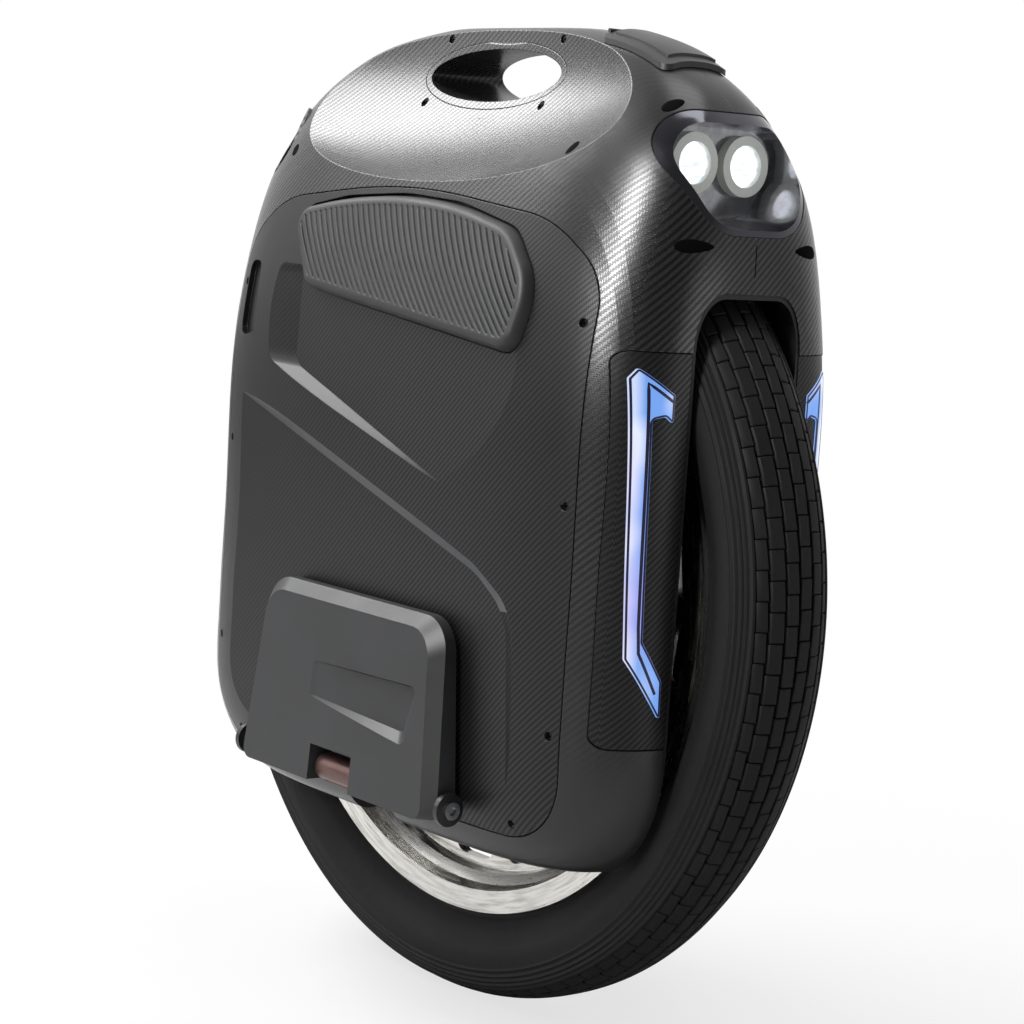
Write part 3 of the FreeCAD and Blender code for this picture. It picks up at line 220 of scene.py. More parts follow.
# walls moulded in the side panel: least lean up or down with their middle height and reach, and least turn
# to the rear with their middle place along X and reach
WALL_LEAN, WALL_HEIGHT, WALL_REACH = 0.2, 0.36, 0.10
END_TURN, END_PLACE, END_REACH = -0.25, 0.165, 0.04
# painted light and shade on the bare walls: along X the lower walls run from painted shade to a pale painted
# reflection of the floor; the upper ones are dark
WALL_LIT = (-0.17, 0.06)
WALL_SHADE, WALL_PAINTED_REFLECTION, WALL_UPPER = "#202021", "#5f6062", "#242426"
# a bare wall's roughness, and its level between the valleys and crowns of the threads
WALL_ROUGH, WALL_LEVEL = 0.42, 0.5
# shares of the gloss that dark and pale threads have, tone of a thread's flank beside its crown, which paints shade
# on the thread's round, and what being pale adds to the roughness
THREAD_SHINE = (0.75, 1.25)
THREAD_FLANK_SHADE = 0.55
THREAD_POLISH = -0.05
# patches of wear in the film: their width in millimetres, and what they take from and add to the roughness
WEAR_WIDTH, WEAR_LESS, WEAR_MORE = 60, 0.05, 0.06
# broad patches in a grained surface: their width in millimetres, which part of their noise counts, and how far
# they change the roughness
PATCH_WIDTH, PATCH_RANGE, PATCH_SWING = 45, (0.3, 0.7), 0.06
# which part of the fine and broad noise together runs from one colour to the other
GRAIN_RANGE = (0.12, 0.42)


def twill_group():
    """Two-over-two twill: U and V count threads; gives which thread is on top and its round height."""
    tree = bpy.data.node_groups.new("twill_weave", "ShaderNodeTree")
    for name in ("U", "V"):
        tree.interface.new_socket(name, in_out="INPUT", socket_type="NodeSocketFloat")
    for name in ("Warp", "Height"):
        tree.interface.new_socket(name, in_out="OUTPUT", socket_type="NodeSocketFloat")
    start = put(tree, "NodeGroupInput").outputs
    step = calc(tree, "SUBTRACT", calc(tree, "FLOOR", start["U"]), calc(tree, "FLOOR", start["V"]))
    warp = calc(tree, "LESS_THAN", calc(tree, "FLOORED_MODULO", step, TWILL_REPEAT), WARP_ON_TOP)
    across, along = (calc(tree, "SINE", calc(tree, "MULTIPLY", calc(tree, "FRACT", start[name]), math.pi))
                     for name in ("U", "V"))
    put(tree, "NodeGroupOutput", {"Warp": warp, "Height": blended(tree, warp, along, across)})
    return tree


TWILL = twill_group()


def weave_on_faces(tree, place, thread):
    """Warp and height of a twill drawn on the plane each face lies nearest, and how far the face rises.

    thread is the distance from thread to thread in millimetres.
    """
    scale = {0: place["Object"], "Scale": 1 / (thread * MM)}
    at = axes(tree, put(tree, "ShaderNodeVectorMath", scale, operation="SCALE").outputs["Vector"])
    upright = put(tree, "ShaderNodeVectorMath", {0: place["Normal"]}, operation="ABSOLUTE")
    facing = axes(tree, upright.outputs["Vector"])
    side, end, above = (put(tree, "ShaderNodeGroup", {"U": at[u], "V": at[v]}, node_tree=TWILL).outputs
                        for u, v in (("X", "Z"), ("Y", "Z"), ("X", "Y")))
    to_end = calc(tree, "GREATER_THAN", facing["X"], facing["Y"])
    to_top = calc(tree, "GREATER_THAN", facing["Z"], TOP_RISE)
    weave = [blended(tree, to_top, blended(tree, to_end, side[name], end[name]), above[name])
             for name in ("Warp", "Height")]
    return weave, facing["Z"]


def calmed(tree, share, weave):
    """A weave sunk to its mean tone where the share is 1."""
    return [blended(tree, share, value, WEAVE_MEAN) for value in weave]


def wall_mask(tree, place):
    """1 on the sloping walls of the side panel, which the film leaves bare, and 1 where a face leans up."""
    slope, at = axes(tree, place["Normal"]), axes(tree, place["Object"])
    leans = calc(tree, "GREATER_THAN", calc(tree, "ABSOLUTE", slope["Z"]), WALL_LEAN)
    level = calc(tree, "COMPARE", at["Z"], WALL_HEIGHT, WALL_REACH)
    turns = calc(tree, "LESS_THAN", slope["X"], END_TURN)
    ahead = calc(tree, "COMPARE", at["X"], END_PLACE, END_REACH)
    bare = calc(tree, "MAXIMUM", calc(tree, "MULTIPLY", leans, level), calc(tree, "MULTIPLY", turns, ahead))
    return bare, calc(tree, "GREATER_THAN", slope["Z"], WALL_LEAN)


def twill_film(name, thread, dark, light, roughness, relief, gloss, fade=None, brow=None, walls=False):
    """Satin twill film moulded over ABS: pale and dark threads that step along diagonals and shine unequally.

    fade is an axis, two places on it and the least share of weave that is left at the first; brow is where along X
    the film over the lamp begins and ends to lose its weave.
    """
    made, tree, shader = surface(name, {"IOR": 1.48})
    place = put(tree, "ShaderNodeTexCoord").outputs
    at = axes(tree, place["Object"])
    weave, rise = weave_on_faces(tree, place, thread)
    if fade:
        axis, low, high, least = fade
        weave = calmed(tree, ranged(tree, at[axis], low, high, 1 - least, 0.0), weave)
    if brow:
        ahead = ranged(tree, at["X"], *brow)
        weave = calmed(tree, calc(tree, "MULTIPLY", ahead, ranged(tree, rise, *BROW_RISE, 0.0, BROW_FADE)), weave)
    warp, height = weave
    shine = ranged(tree, warp, least=gloss * THREAD_SHINE[0], most=gloss * THREAD_SHINE[1])
    # painted shade: a pale thread darkens from its crown towards its flanks
    tone = calc(tree, "MULTIPLY", warp, ranged(tree, height, least=THREAD_FLANK_SHADE))
    colour = tinted(tree, tone, dark, light)
    cloud = noise(tree, place["Object"], WEAR_WIDTH, 3.0)
    wear = ranged(tree, cloud, least=roughness - WEAR_LESS, most=roughness + WEAR_MORE)
    rough = calc(tree, "MULTIPLY_ADD", warp, THREAD_POLISH, wear)
    if walls:
        bare, upward = wall_mask(tree, place)
        # painted light and shade: the lower walls run along X from painted shade to a pale painted reflection; the
        # upper walls stay dark
        lower = tinted(tree, ranged(tree, at["X"], *WALL_LIT), WALL_SHADE, WALL_PAINTED_REFLECTION)
        colour = tinted(tree, bare, colour, tinted(tree, upward, lower, WALL_UPPER))
        rough = blended(tree, bare, rough, WALL_ROUGH)
        height = blended(tree, bare, height, WALL_LEVEL)
        shine = blended(tree, bare, shine, gloss)
    worn = put(tree, "ShaderNodeBevel", {"Radius": EDGE_ROUND * MM}, samples=4)
    bump = put(tree, "ShaderNodeBump", {"Height": height, "Strength": 0.5, "Distance": relief * MM,
                                        "Normal": worn.outputs[0]})
    feed(tree, shader, {"Base Color": colour, "Roughness": rough, "Specular IOR Level": shine,
                        "Normal": bump.outputs[0]})
    return made


def grained(name, low, high, roughness, grain, relief, sockets=None):
    """A surface with fine grain: two close colours, uneven gloss and a shallow relief, grain in millimetres."""
    made, tree, shader = surface(name, sockets or {})
    place = put(tree, "ShaderNodeTexCoord").outputs["Object"]
    fine = noise(tree, place, grain, 4.0, 0.6)
    broad = noise(tree, place, PATCH_WIDTH, 3.0)
    share = ranged(tree, calc(tree, "MULTIPLY", fine, broad), *GRAIN_RANGE)
    gloss = ranged(tree, broad, *PATCH_RANGE, roughness - PATCH_SWING, roughness + PATCH_SWING)
    bump = put(tree, "ShaderNodeBump", {"Height": fine, "Strength": 0.4, "Distance": relief * MM})
    feed(tree, shader, {"Base Color": tinted(tree, share, low, high), "Roughness": gloss, "Normal": bump.outputs[0]})
    return made


def darken(material, share, code):
    """Mixes a darker colour into a finished material where the share is 1."""
    tree = material.node_tree
    shader = tree.nodes["Principled BSDF"]
    old = shader.inputs["Base Color"].links[0].from_socket
    feed(tree, shader, {"Base Color": tinted(tree, share, old, code)})


def grooved_foam():
    """Moulded foam of the knee pads: soft grey ribs, with painted shade keeping the grooves black."""
    made = grained("moulded_eva_foam", "#1d1d1f", "#28282a", 0.58, 0.9, 0.05)
    groove = put(made.node_tree, "ShaderNodeAttribute", attribute_name="groove")
    # painted shade: near black laid into the grooves by their depth share
    darken(made, ranged(made.node_tree, groove.outputs["Fac"], 0.05, 0.3), "#060606")
    return made


# the lamp bowl's flange: its height from foot to top, how far its face rises there at most, and how far it has to
# rise and to face forward at least
FLANGE_HEIGHT = (0.545, 0.626)
FLANGE_RISE = (0.3, 0.95)
FLANGE_LEAST, FLANGE_AHEAD = 0.05, 0.4


def rimmed_chrome():
    """Vacuum chrome of the lamp bowl: a dark mirror, with a smoked flange round it."""
    made = grained("vacuum_chrome_on_abs", "#9a9b9f", "#c0c0c4", 0.15, 6.0, 0.01, {"Metallic": 1.0})
    tree = made.node_tree
    place = put(tree, "ShaderNodeTexCoord").outputs
    slope = axes(tree, place["Normal"])
    most = ranged(tree, axes(tree, place["Object"])["Z"], *FLANGE_HEIGHT, *FLANGE_RISE)
    rises = calc(tree, "MULTIPLY", calc(tree, "GREATER_THAN", slope["Z"], FLANGE_LEAST),
                 calc(tree, "LESS_THAN", slope["Z"], most))
    ahead = calc(tree, "GREATER_THAN", slope["X"], FLANGE_AHEAD)
    darken(made, calc(tree, "MULTIPLY", rises, ahead), "#5a5a60")
    return made


# streaks of road film on turned metal: their width and how far a radian is drawn out, both in millimetres of noise,
# which part of the noise counts, and what a streak adds to the roughness
STREAK_WIDTH, STREAK_DRAWN, STREAK_RANGE, STREAK_DULL = 2.5, 20, (0.42, 0.68), 0.16


def turned_metal(name, low, high, roughness, spacing):
    """Metal turned or polished round the wheel axle: fine rings that stretch the highlights."""
    made, tree, shader = surface(name, {"Metallic": 1.0})
    place = put(tree, "ShaderNodeTexCoord").outputs["Object"]
    centred = put(tree, "ShaderNodeVectorMath", {0: place, 1: (0.0, 0.0, AXLE_HEIGHT)}, operation="SUBTRACT")
    at = axes(tree, centred.outputs["Vector"])
    flat = put(tree, "ShaderNodeCombineXYZ", {"X": at["X"], "Z": at["Z"]})
    radius = put(tree, "ShaderNodeVectorMath", {0: flat.outputs["Vector"]}, operation="LENGTH")
    drawn = calc(tree, "MULTIPLY", calc(tree, "ARCTAN2", at["Z"], at["X"]), STREAK_DRAWN * MM)
    ring = put(tree, "ShaderNodeCombineXYZ", {"X": radius.outputs["Value"], "Y": at["Y"], "Z": drawn}).outputs[0]
    marks = noise(tree, ring, spacing, 3.0)
    dull = ranged(tree, noise(tree, ring, STREAK_WIDTH, 4.0), *STREAK_RANGE)
    bump = put(tree, "ShaderNodeBump", {"Height": marks, "Strength": 0.15, "Distance": 0.05 * MM})
    feed(tree, shader, {"Base Color": tinted(tree, dull, high, low), "Normal": bump.outputs[0],
                        "Roughness": ranged(tree, dull, least=roughness, most=roughness + STREAK_DULL)})
    return made


# the light turns from blue to white along a line beside the strip's channel, which leans outward as it rises: the
# lean, the foot and half the width of the turn, in metres
STRIP_LEAN, STRIP_FOOT, STRIP_TURN = -0.022, -0.0675, 0.004
# width of the spots that the diodes make and of the violet patches, in millimetres
DIODE_WIDTH, VIOLET_WIDTH = 34, 90
# turns of noise in a metre along each axis, which draws it out into the lamp lens's flutes
FLUTES = (0.0, 70.0, 330.0)


def strip_light(name, pale, deep, violet):
    """Lit light guide: whiter on its outer side, bluer on its inner side, with soft spots and violet patches."""
    made, tree, shader = surface(name, {"Base Color": linear("#20242c"), "Roughness": 0.18, "IOR": 1.49,
                                        "Emission Strength": 1.0})
    place = put(tree, "ShaderNodeTexCoord").outputs["Object"]
    at = axes(tree, place)
    line = calc(tree, "MULTIPLY_ADD", at["Z"], STRIP_LEAN, STRIP_FOOT)
    outside = calc(tree, "ADD", calc(tree, "ABSOLUTE", at["Y"]), line)
    diodes = ranged(tree, noise(tree, place, DIODE_WIDTH, 1.0), 0.35, 0.65, -0.3, 0.3)
    white = calc(tree, "ADD", ranged(tree, outside, -STRIP_TURN, STRIP_TURN), diodes, use_clamp=True)
    patches = ranged(tree, noise(tree, place, VIOLET_WIDTH, 0.0), 0.45, 0.65, 0.0, 0.7)
    feed(tree, shader, {"Emission Color": tinted(tree, patches, tinted(tree, white, deep, pale), violet)})
    return made


def lamp_lens():
    """Lit acrylic lens of the head lamp: moulded flutes about 3 mm high over a white diode."""
    made, tree, shader = surface("lit_acrylic_lens", {"Base Color": linear("#e8eef6"), "Roughness": 0.08, "IOR": 1.49,
                                                      "Emission Strength": 1.0})
    place = put(tree, "ShaderNodeTexCoord").outputs["Object"]
    drawn = put(tree, "ShaderNodeVectorMath", {0: place, 1: FLUTES}, operation="MULTIPLY")
    flutes = put(tree, "ShaderNodeTexNoise", {"Vector": drawn.outputs["Vector"], "Scale": 1.0, "Detail": 1.0})
    share = ranged(tree, flutes.outputs[0], 0.36, 0.52)
    feed(tree, shader, {"Emission Color": tinted(tree, share, "#c3cbe2", "#ffffff")})
    return made


# Tyre, in millimetres

TREAD_RADIUS = 300
TREAD_PITCHES = 96
TREAD_DEPTH = 4.2
TREAD_SIPE = 0.7
TREAD_EDGE = 0.7
TREAD_SAW = 0.7
# how far a block's side leans in from its foot to its worn edge
BLOCK_DRAFT = 0.15
# inner and outer edge of each rib from the centre line, and its shift along the tread in pitches
TREAD_RIBS = ((0.9, 10.4, 0.0), (12.0, 21.6, 0.45), (23.0, 29.6, 0.8))
# the tread's fall from the centre line, the distance at which it has fallen so far, and the power of its curve
CROWN_DROP, CROWN_HALF, CROWN_POWER = 12, 34, 2.7
# radius and distance from the centre line, from the bead toe to the tread's shoulder, and the same inside
SIDEWALL = ((231, 12), (230.5, 20), (236, 21), (241.5, 22.3), (245, 25.6), (252, 32), (264, 38.4), (277, 37.4),
            (287.5, 33.6), (291.2, 30.4))
LINER = ((231, -12), (262, -31), (284, -22), (288, 0), (284, 22), (262, 31))
TREAD_FLOOR = (28.5, 24, 18, 12, 6)
SHOULDER_RIDGES = (290.2, 287.4, 284.4, 281, 277.2)
SHOULDER_START = 29
RIDGE_WIDTH = 1.6
RIDGE_HEIGHT = 1.1
TYRE_STEPS = 280
SIDEWALL_STEP = 0.6


def crown(y):
    """Tread surface radius at a distance from the centre line."""
    return TREAD_RADIUS - CROWN_DROP * abs(y / CROWN_HALF) ** CROWN_POWER


def on_wheel(radius, y, angle):
    """Point at a radius, a distance from the centre line and an angle, in the frame's metres."""
    return radius * math.cos(angle) * MM, y * MM, AXLE_HEIGHT + radius * math.sin(angle) * MM


def smooth_line(points, step):
    """Points about step apart on a smooth curve through the given ones."""
    padded = [Vector(points[0]) * 2 - Vector(points[1])] + [Vector(p) for p in points]
    padded.append(Vector(points[-1]) * 2 - Vector(points[-2]))
    line = []
    for a, b, c, d in zip(padded, padded[1:], padded[2:], padded[3:]):
        parts = max(2, int((c - b).length / step))
        for k in range(parts):
            t = k / parts
            line.append(0.5 * (2 * b + (c - a) * t + (2 * a - 5 * b + 4 * c - d) * t * t
                               + (3 * b - a - 3 * c + d) * t ** 3))
    line.append(Vector(points[-1]))
    return line


def carcass_profile():
    """Half section from bead toe to centre line: sidewall with moulded shoulder ridges, then the tread floor."""
    line = smooth_line(SIDEWALL, SIDEWALL_STEP)
    made = []
    for before, here, after in zip([line[0]] + line, line, line[1:] + [line[-1]]):
        along = (after - before).normalized()
        out = Vector((-along.y, along.x))
        lift = sum(RIDGE_HEIGHT * math.exp(-((here.x - r) / (RIDGE_WIDTH / 2)) ** 2)
                   for r in SHOULDER_RIDGES if here.y > SHOULDER_START)
        made.append((here.x + out.x * lift, here.y + out.y * lift))
    return made + [(crown(y) - TREAD_DEPTH, y) for y in TREAD_FLOOR]


def make_carcass():
    half = carcass_profile()
    section = half + [(crown(0) - TREAD_DEPTH, 0)] + [(r, -y) for r, y in reversed(half)]
    loop = section + list(LINER)
    points = [on_wheel(r, y, 2 * math.pi * i / TYRE_STEPS) for i in range(TYRE_STEPS) for r, y in loop]
    return points, band(0, TYRE_STEPS, len(loop), around=True)


def add_block(points, faces, low, high, start, end, side):
    """One tread block between two edges of a rib and two angles, with worn edges and a skewed outline."""
    first = len(points)
    ease = TREAD_EDGE / TREAD_RADIUS
    angles = (start, start + ease, (start + end) / 2, end - ease, end)
    for angle, drop in zip(angles, (TREAD_EDGE, 0, 0, 0, TREAD_EDGE)):
        skew = TREAD_SAW * ((angle - start) / (end - start) - 0.5)
        near, far = low + skew, high + skew
        edges = (near, near + BLOCK_DRAFT, near + TREAD_EDGE, (low + high) / 2, far - TREAD_EDGE, far - BLOCK_DRAFT,
                 far)
        depths = (TREAD_DEPTH + 1, TREAD_EDGE, drop, drop, drop, TREAD_EDGE, TREAD_DEPTH + 1)
        points += [on_wheel(crown(y) - max(depth, drop), side * y, angle) for y, depth in zip(edges, depths)]
    row = (len(points) - first) // len(angles)
    last = len(points) - row
    faces += band(first, len(angles), row)
    faces += [tuple(range(first, first + row)), tuple(range(last + row - 1, last - 1, -1))]


def wheel_round():
    """Geometry tree: one pitch of the wheel repeated round the axle."""
    tree = bpy.data.node_groups.new("wheel_round", "GeometryNodeTree")
    for name, kind in (("Pitch", "Geometry"), ("Count", "Int"), ("Axle height", "Float"), ("Material", "Material")):
        tree.interface.new_socket(name, in_out="INPUT", socket_type="NodeSocket" + kind)
    tree.interface.new_socket("Ring", in_out="OUTPUT", socket_type="NodeSocketGeometry")
    start = put(tree, "NodeGroupInput").outputs
    down = put(tree, "ShaderNodeCombineXYZ", {"Z": calc(tree, "MULTIPLY", start["Axle height"], -1.0)})
    up = put(tree, "ShaderNodeCombineXYZ", {"Z": start["Axle height"]})
    centred = put(tree, "GeometryNodeTransform", {"Geometry": start["Pitch"], "Translation": down.outputs[0]})
    spots = put(tree, "GeometryNodePoints", {"Count": start["Count"]})
    index = put(tree, "GeometryNodeInputIndex")
    angle = calc(tree, "MULTIPLY", index.outputs[0], calc(tree, "DIVIDE", 2 * math.pi, start["Count"]))
    turn = put(tree, "FunctionNodeAxisAngleToRotation", {"Axis": (0.0, 1.0, 0.0), "Angle": angle})
    copies = put(tree, "GeometryNodeInstanceOnPoints", {"Points": spots.outputs[0], "Instance": centred.outputs[0],
                                                        "Rotation": turn.outputs[0]})
    real = put(tree, "GeometryNodeRealizeInstances", {0: copies.outputs[0]})
    placed = put(tree, "GeometryNodeTransform", {"Geometry": real.outputs[0], "Translation": up.outputs[0]})
    dressed = put(tree, "GeometryNodeSetMaterial", {"Geometry": placed.outputs[0], "Material": start["Material"]})
    put(tree, "NodeGroupOutput", {"Ring": dressed.outputs[0]})
    return tree


def make_tyre(rubber):
    points, faces = [], []
    pitch = 2 * math.pi / TREAD_PITCHES
    gap = TREAD_SIPE / TREAD_RADIUS
    for side, stagger in ((1, 0), (-1, 0.5)):
        for low, high, shift in TREAD_RIBS:
            start = pitch * (shift + stagger)
            add_block(points, faces, low, high, start + gap / 2, start + pitch - gap / 2, side)
    tread = run_nodes(mesh_of("tread_pitch", points, faces), wheel_round(),
                      {"Count": TREAD_PITCHES, "Axle height": AXLE_HEIGHT, "Material": rubber})
    carcass = mesh_of("carcass", *make_carcass())
    form = bmesh.new()
    form.from_mesh(carcass)
    form.from_mesh(tread)
    whole = bpy.data.meshes.new("street_tyre")
    form.to_mesh(whole)
    form.free()
    whole.materials.append(rubber)
    sharp_by_angle(whole, 35)
    return shown("street_tyre", whole, "wheel", "tyre_rubber", "tyre")


# Knee pads, in millimetres: along X and up the leaning seat

PAD_LINE = ((-127, 80), (-66, 91.5), (0, 96), (62, 92.5), (122, 79), (152, 44), (142, -2), (-96, 25))
PAD_ROUNDS = (16, 480, 480, 340, 40, 40, 16, 14)
# place across and height of the seat's foot, and its lean
PAD_LOW = (-108, 462)
PAD_TILT = math.atan2(14.5, 90)
PAD_PROUD = 13.0
PAD_EDGE = 9.0
# the pad's slight crown, and how far in from the border it reaches its full height
PAD_CROWN, CROWN_REACH = 1.2, 40
# columns and rows of the pad's points, with how wide a margin has them closer: in millimetres and in per cent
PAD_STEP, PAD_MARGIN = 0.62, 7
PAD_ROWS, ROW_MARGIN = 130, 8
# the outermost columns stay this far inside the outline's tips
PAD_TIP = 0.02
RIB_PITCH = 6.4
RIB_GROOVE = 2.6
RIB_DEPTH = 2.4
RIB_BORDER = 8.0
# the grooves start upright at the top and bend forward on the way down
RIB_TOP = 95.0
RIB_LEAN = 0.35
RIB_BEND = 0.00425
RIB_START = 400
EDGE_STATIONS = 12


def stations(low, high, edge, coarse):
    """Places from low to high, close together near both ends."""
    span = high - low
    edge = min(edge, span / 2)
    near = [edge * (k / EDGE_STATIONS) ** 1.6 for k in range(EDGE_STATIONS + 1)]
    middle = max(1, int((span - 2 * edge) / coarse))
    inner = [edge + (span - 2 * edge) * k / middle for k in range(1, middle)]
    return [low + s for s in near + inner] + [high - s for s in reversed(near)]


def pad_form():
    """Crowned pad as columns of points: places on the seat, their border distance and how proud they stand."""
    outline = np.array([tuple(p) for p in rounded_outline(PAD_LINE, PAD_ROUNDS, 1.0)])
    ends = np.roll(outline, -1, axis=0)
    low, high = outline[:, 0].min(), outline[:, 0].max()
    columns = []
    for u in stations(low + PAD_TIP, high - PAD_TIP, PAD_MARGIN, PAD_STEP):
        crossing = (outline[:, 0] - u) * (ends[:, 0] - u) < 0
        a, b = outline[crossing], ends[crossing]
        v = a[:, 1] + (u - a[:, 0]) / (b[:, 0] - a[:, 0]) * (b[:, 1] - a[:, 1])
        columns.append((u, v.min(), v.max()))
    shares = np.array(stations(0, 100, ROW_MARGIN, 100 / (PAD_ROWS - 2 * EDGE_STATIONS))) / 100
    flat = np.array([(u, v0 + (v1 - v0) * t) for u, v0, v1 in columns for t in shares])
    border = np.full(len(flat), 1e9)
    for a, b in zip(outline, ends):
        along = b - a
        length = max((along ** 2).sum(), 1e-9)
        t = np.clip(((flat - a) @ along) / length, 0, 1)
        border = np.minimum(border, np.hypot(*(flat - a - t[:, None] * along).T))
    rise = 1 - (1 - np.clip(border / PAD_EDGE, 0, 1)) ** 4
    height = (PAD_PROUD - PAD_CROWN) * rise + PAD_CROWN * np.clip(border / CROWN_REACH, 0, 1)
    return flat, border, height, len(columns), len(shares)


def pad_ribs():
    """Geometry tree: presses the curved grooves of the pad into its crowned face."""
    tree = bpy.data.node_groups.new("pad_ribs", "GeometryNodeTree")
    sizes = (("Pad", "Geometry"), ("Pitch", "Float"), ("Groove", "Float"), ("Depth", "Float"), ("Border", "Float"),
             ("Inward", "Vector"), ("Material", "Material"))
    for name, kind in sizes:
        tree.interface.new_socket(name, in_out="INPUT", socket_type="NodeSocket" + kind)
    tree.interface.new_socket("Ribbed", in_out="OUTPUT", socket_type="NodeSocketGeometry")
    start = put(tree, "NodeGroupInput").outputs
    phase, border = (put(tree, "GeometryNodeInputNamedAttribute", {"Name": name}, data_type="FLOAT").outputs[0]
                     for name in ("rib_phase", "border"))
    part = calc(tree, "FRACT", calc(tree, "DIVIDE", phase, start["Pitch"]))
    away = calc(tree, "ABSOLUTE", calc(tree, "SUBTRACT", part, 0.5))
    off = calc(tree, "MULTIPLY", away, start["Pitch"])
    half = calc(tree, "MULTIPLY", start["Groove"], 0.5)
    cut = ranged(tree, off, 0.0, half, 1.0, 0.0, interpolation_type="SMOOTHSTEP")
    past = calc(tree, "SUBTRACT", border, start["Border"])
    inside = ranged(tree, past, 0.0, half, interpolation_type="SMOOTHSTEP")
    share = calc(tree, "MULTIPLY", cut, inside)
    depth = calc(tree, "MULTIPLY", share, start["Depth"])
    push = put(tree, "ShaderNodeVectorMath", {0: start["Inward"], "Scale": depth}, operation="SCALE")
    pressed = put(tree, "GeometryNodeSetPosition", {"Geometry": start["Pad"], "Offset": push.outputs[0]})
    # the groove share is stored for the foam's painted shade in the grooves
    marked = put(tree, "GeometryNodeStoreNamedAttribute", {"Geometry": pressed.outputs[0], "Name": "groove",
                                                           "Value": share}, data_type="FLOAT")
    real = put(tree, "GeometryNodeRealizeInstances", {0: marked.outputs[0]})
    dressed = put(tree, "GeometryNodeSetMaterial", {"Geometry": real.outputs[0], "Material": start["Material"]})
    put(tree, "NodeGroupOutput", {"Ribbed": dressed.outputs[0]})
    return tree


def make_pads(foam):
    flat, border, height, columns, rows = pad_form()
    seat_up = np.array((0, math.sin(PAD_TILT), math.cos(PAD_TILT)))
    seat_out = np.array((0, -math.cos(PAD_TILT), math.sin(PAD_TILT)))
    tree = pad_ribs()
    drop = RIB_TOP - flat[:, 1]
    phase = flat[:, 0] - RIB_LEAN * drop - RIB_BEND * drop ** 2 + RIB_START
    for side, name in ((1, "right"), (-1, "left")):
        points = (np.array((0, *PAD_LOW)) + np.outer(flat[:, 0], (1, 0, 0))
                  + np.outer(flat[:, 1], seat_up) + np.outer(height, seat_out)) * MM
        points[:, 1] *= side
        mesh = bpy.data.meshes.new(name + "_pad")
        mesh.from_pydata([tuple(p) for p in points], [], band(0, columns, rows))
        for key, values in (("border", border * MM), ("rib_phase", phase * MM)):
            mesh.attributes.new(key, "FLOAT", "POINT").data.foreach_set("value", values.astype(np.float32))
        form = bmesh.new()
        form.from_mesh(mesh)
        bmesh.ops.remove_doubles(form, verts=form.verts, dist=2e-5)
        bmesh.ops.recalc_face_normals(form, faces=form.faces)
        form.to_mesh(mesh)
        form.free()
        inward = (-seat_out[0], -seat_out[1] * side, -seat_out[2])
        ribbed = run_nodes(mesh, tree, {"Pitch": RIB_PITCH * MM, "Groove": RIB_GROOVE * MM, "Depth": RIB_DEPTH * MM,
                                        "Border": RIB_BORDER * MM, "Inward": inward, "Material": foam})
        sharp_by_angle(ribbed, 60)
        pad = shown(name + "_ribbed_pad", ribbed, "chassis", "pad_rubber", name + "_knee_pad")


# Light guides, in millimetres: distance from the wheel's plane and height

CHANNEL = ((57.5, 441), (74.5, 452.5), (74, 440), (70.6, 300), (69.5, 284), (56.5, 258))
CHANNEL_WIDTH = 2.2
LENS_LINE = ((85, 455), (80, 462), (57, 446), (57, 427), (63, 432), (71, 430), (67, 291), (52, 266), (51, 239),
             (78, 280))
LENS_ROUNDS = (1.5, 2.0, 2.0, 1.5, 2.0, 3.0, 3.0, 2.0, 1.5, 3.0)
LENS_SEAM = 0.4
BORDER_WIDTH = 1.4
LINE_STEP = 4.0
# a line's section: share of its half width, and how far it stands proud of the face
LINE_SECTION = ((-1, -0.4), (-0.8, 0.25), (0.8, 0.25), (1, -0.4))
# rays start this far from the wheel's axle, well clear of the body, in metres
CLEAR_AHEAD = 0.4


def face_of(*names):
    """The named solids as one surface to cast rays on."""
    points, faces = [], []
    for name in names:
        mesh = nodes[name].data
        start = len(points)
        points += [v.co.copy() for v in mesh.vertices]
        faces += [tuple(start + v for v in p.vertices) for p in mesh.polygons]
    return BVHTree.FromPolygons(points, faces)


def spaced(line, closed):
    """Points no more than a step or so apart along a line."""
    made = []
    for a, b in zip(line, line[1:] + line[:1] if closed else line[1:]):
        parts = max(1, int((b - a).length / LINE_STEP))
        made += [a.lerp(b, k / parts) for k in range(parts)]
    return made if closed else made + [line[-1]]


def lay_line(points, faces, face, line, width, closed, body_side, end):
    """Lays a flat dark line on the face of a light guide; a closed line runs just inside its own outline."""
    first = len(points)
    line = spaced(line, closed)
    befores = line[-1:] + line[:-1] if closed else line[:1] + line[:-1]
    afters = line[1:] + line[:1] if closed else line[1:] + line[-1:]
    for before, here, after in zip(befores, line, afters):
        along = (after - before).normalized()
        across = Vector((-along.y, along.x)) * width / 2
        middle = here + across * (1 + 2 * LENS_SEAM / width) if closed else here
        for share, lift in LINE_SECTION:
            spot = middle + across * share
            y, z = body_side * spot.x * MM, spot.y * MM
            ahead = Vector((end * CLEAR_AHEAD, y, z))
            hit = face.ray_cast(ahead, Vector((-end, 0, 0)))[0] or face.find_nearest(ahead)[0]
            points.append((hit.x + end * lift * MM, y, z))
    count = len(LINE_SECTION)
    faces += band(first, len(line), count, around=closed)
    if not closed:
        faces += [tuple(range(first, first + count)), tuple(range(len(points) - count, len(points)))]


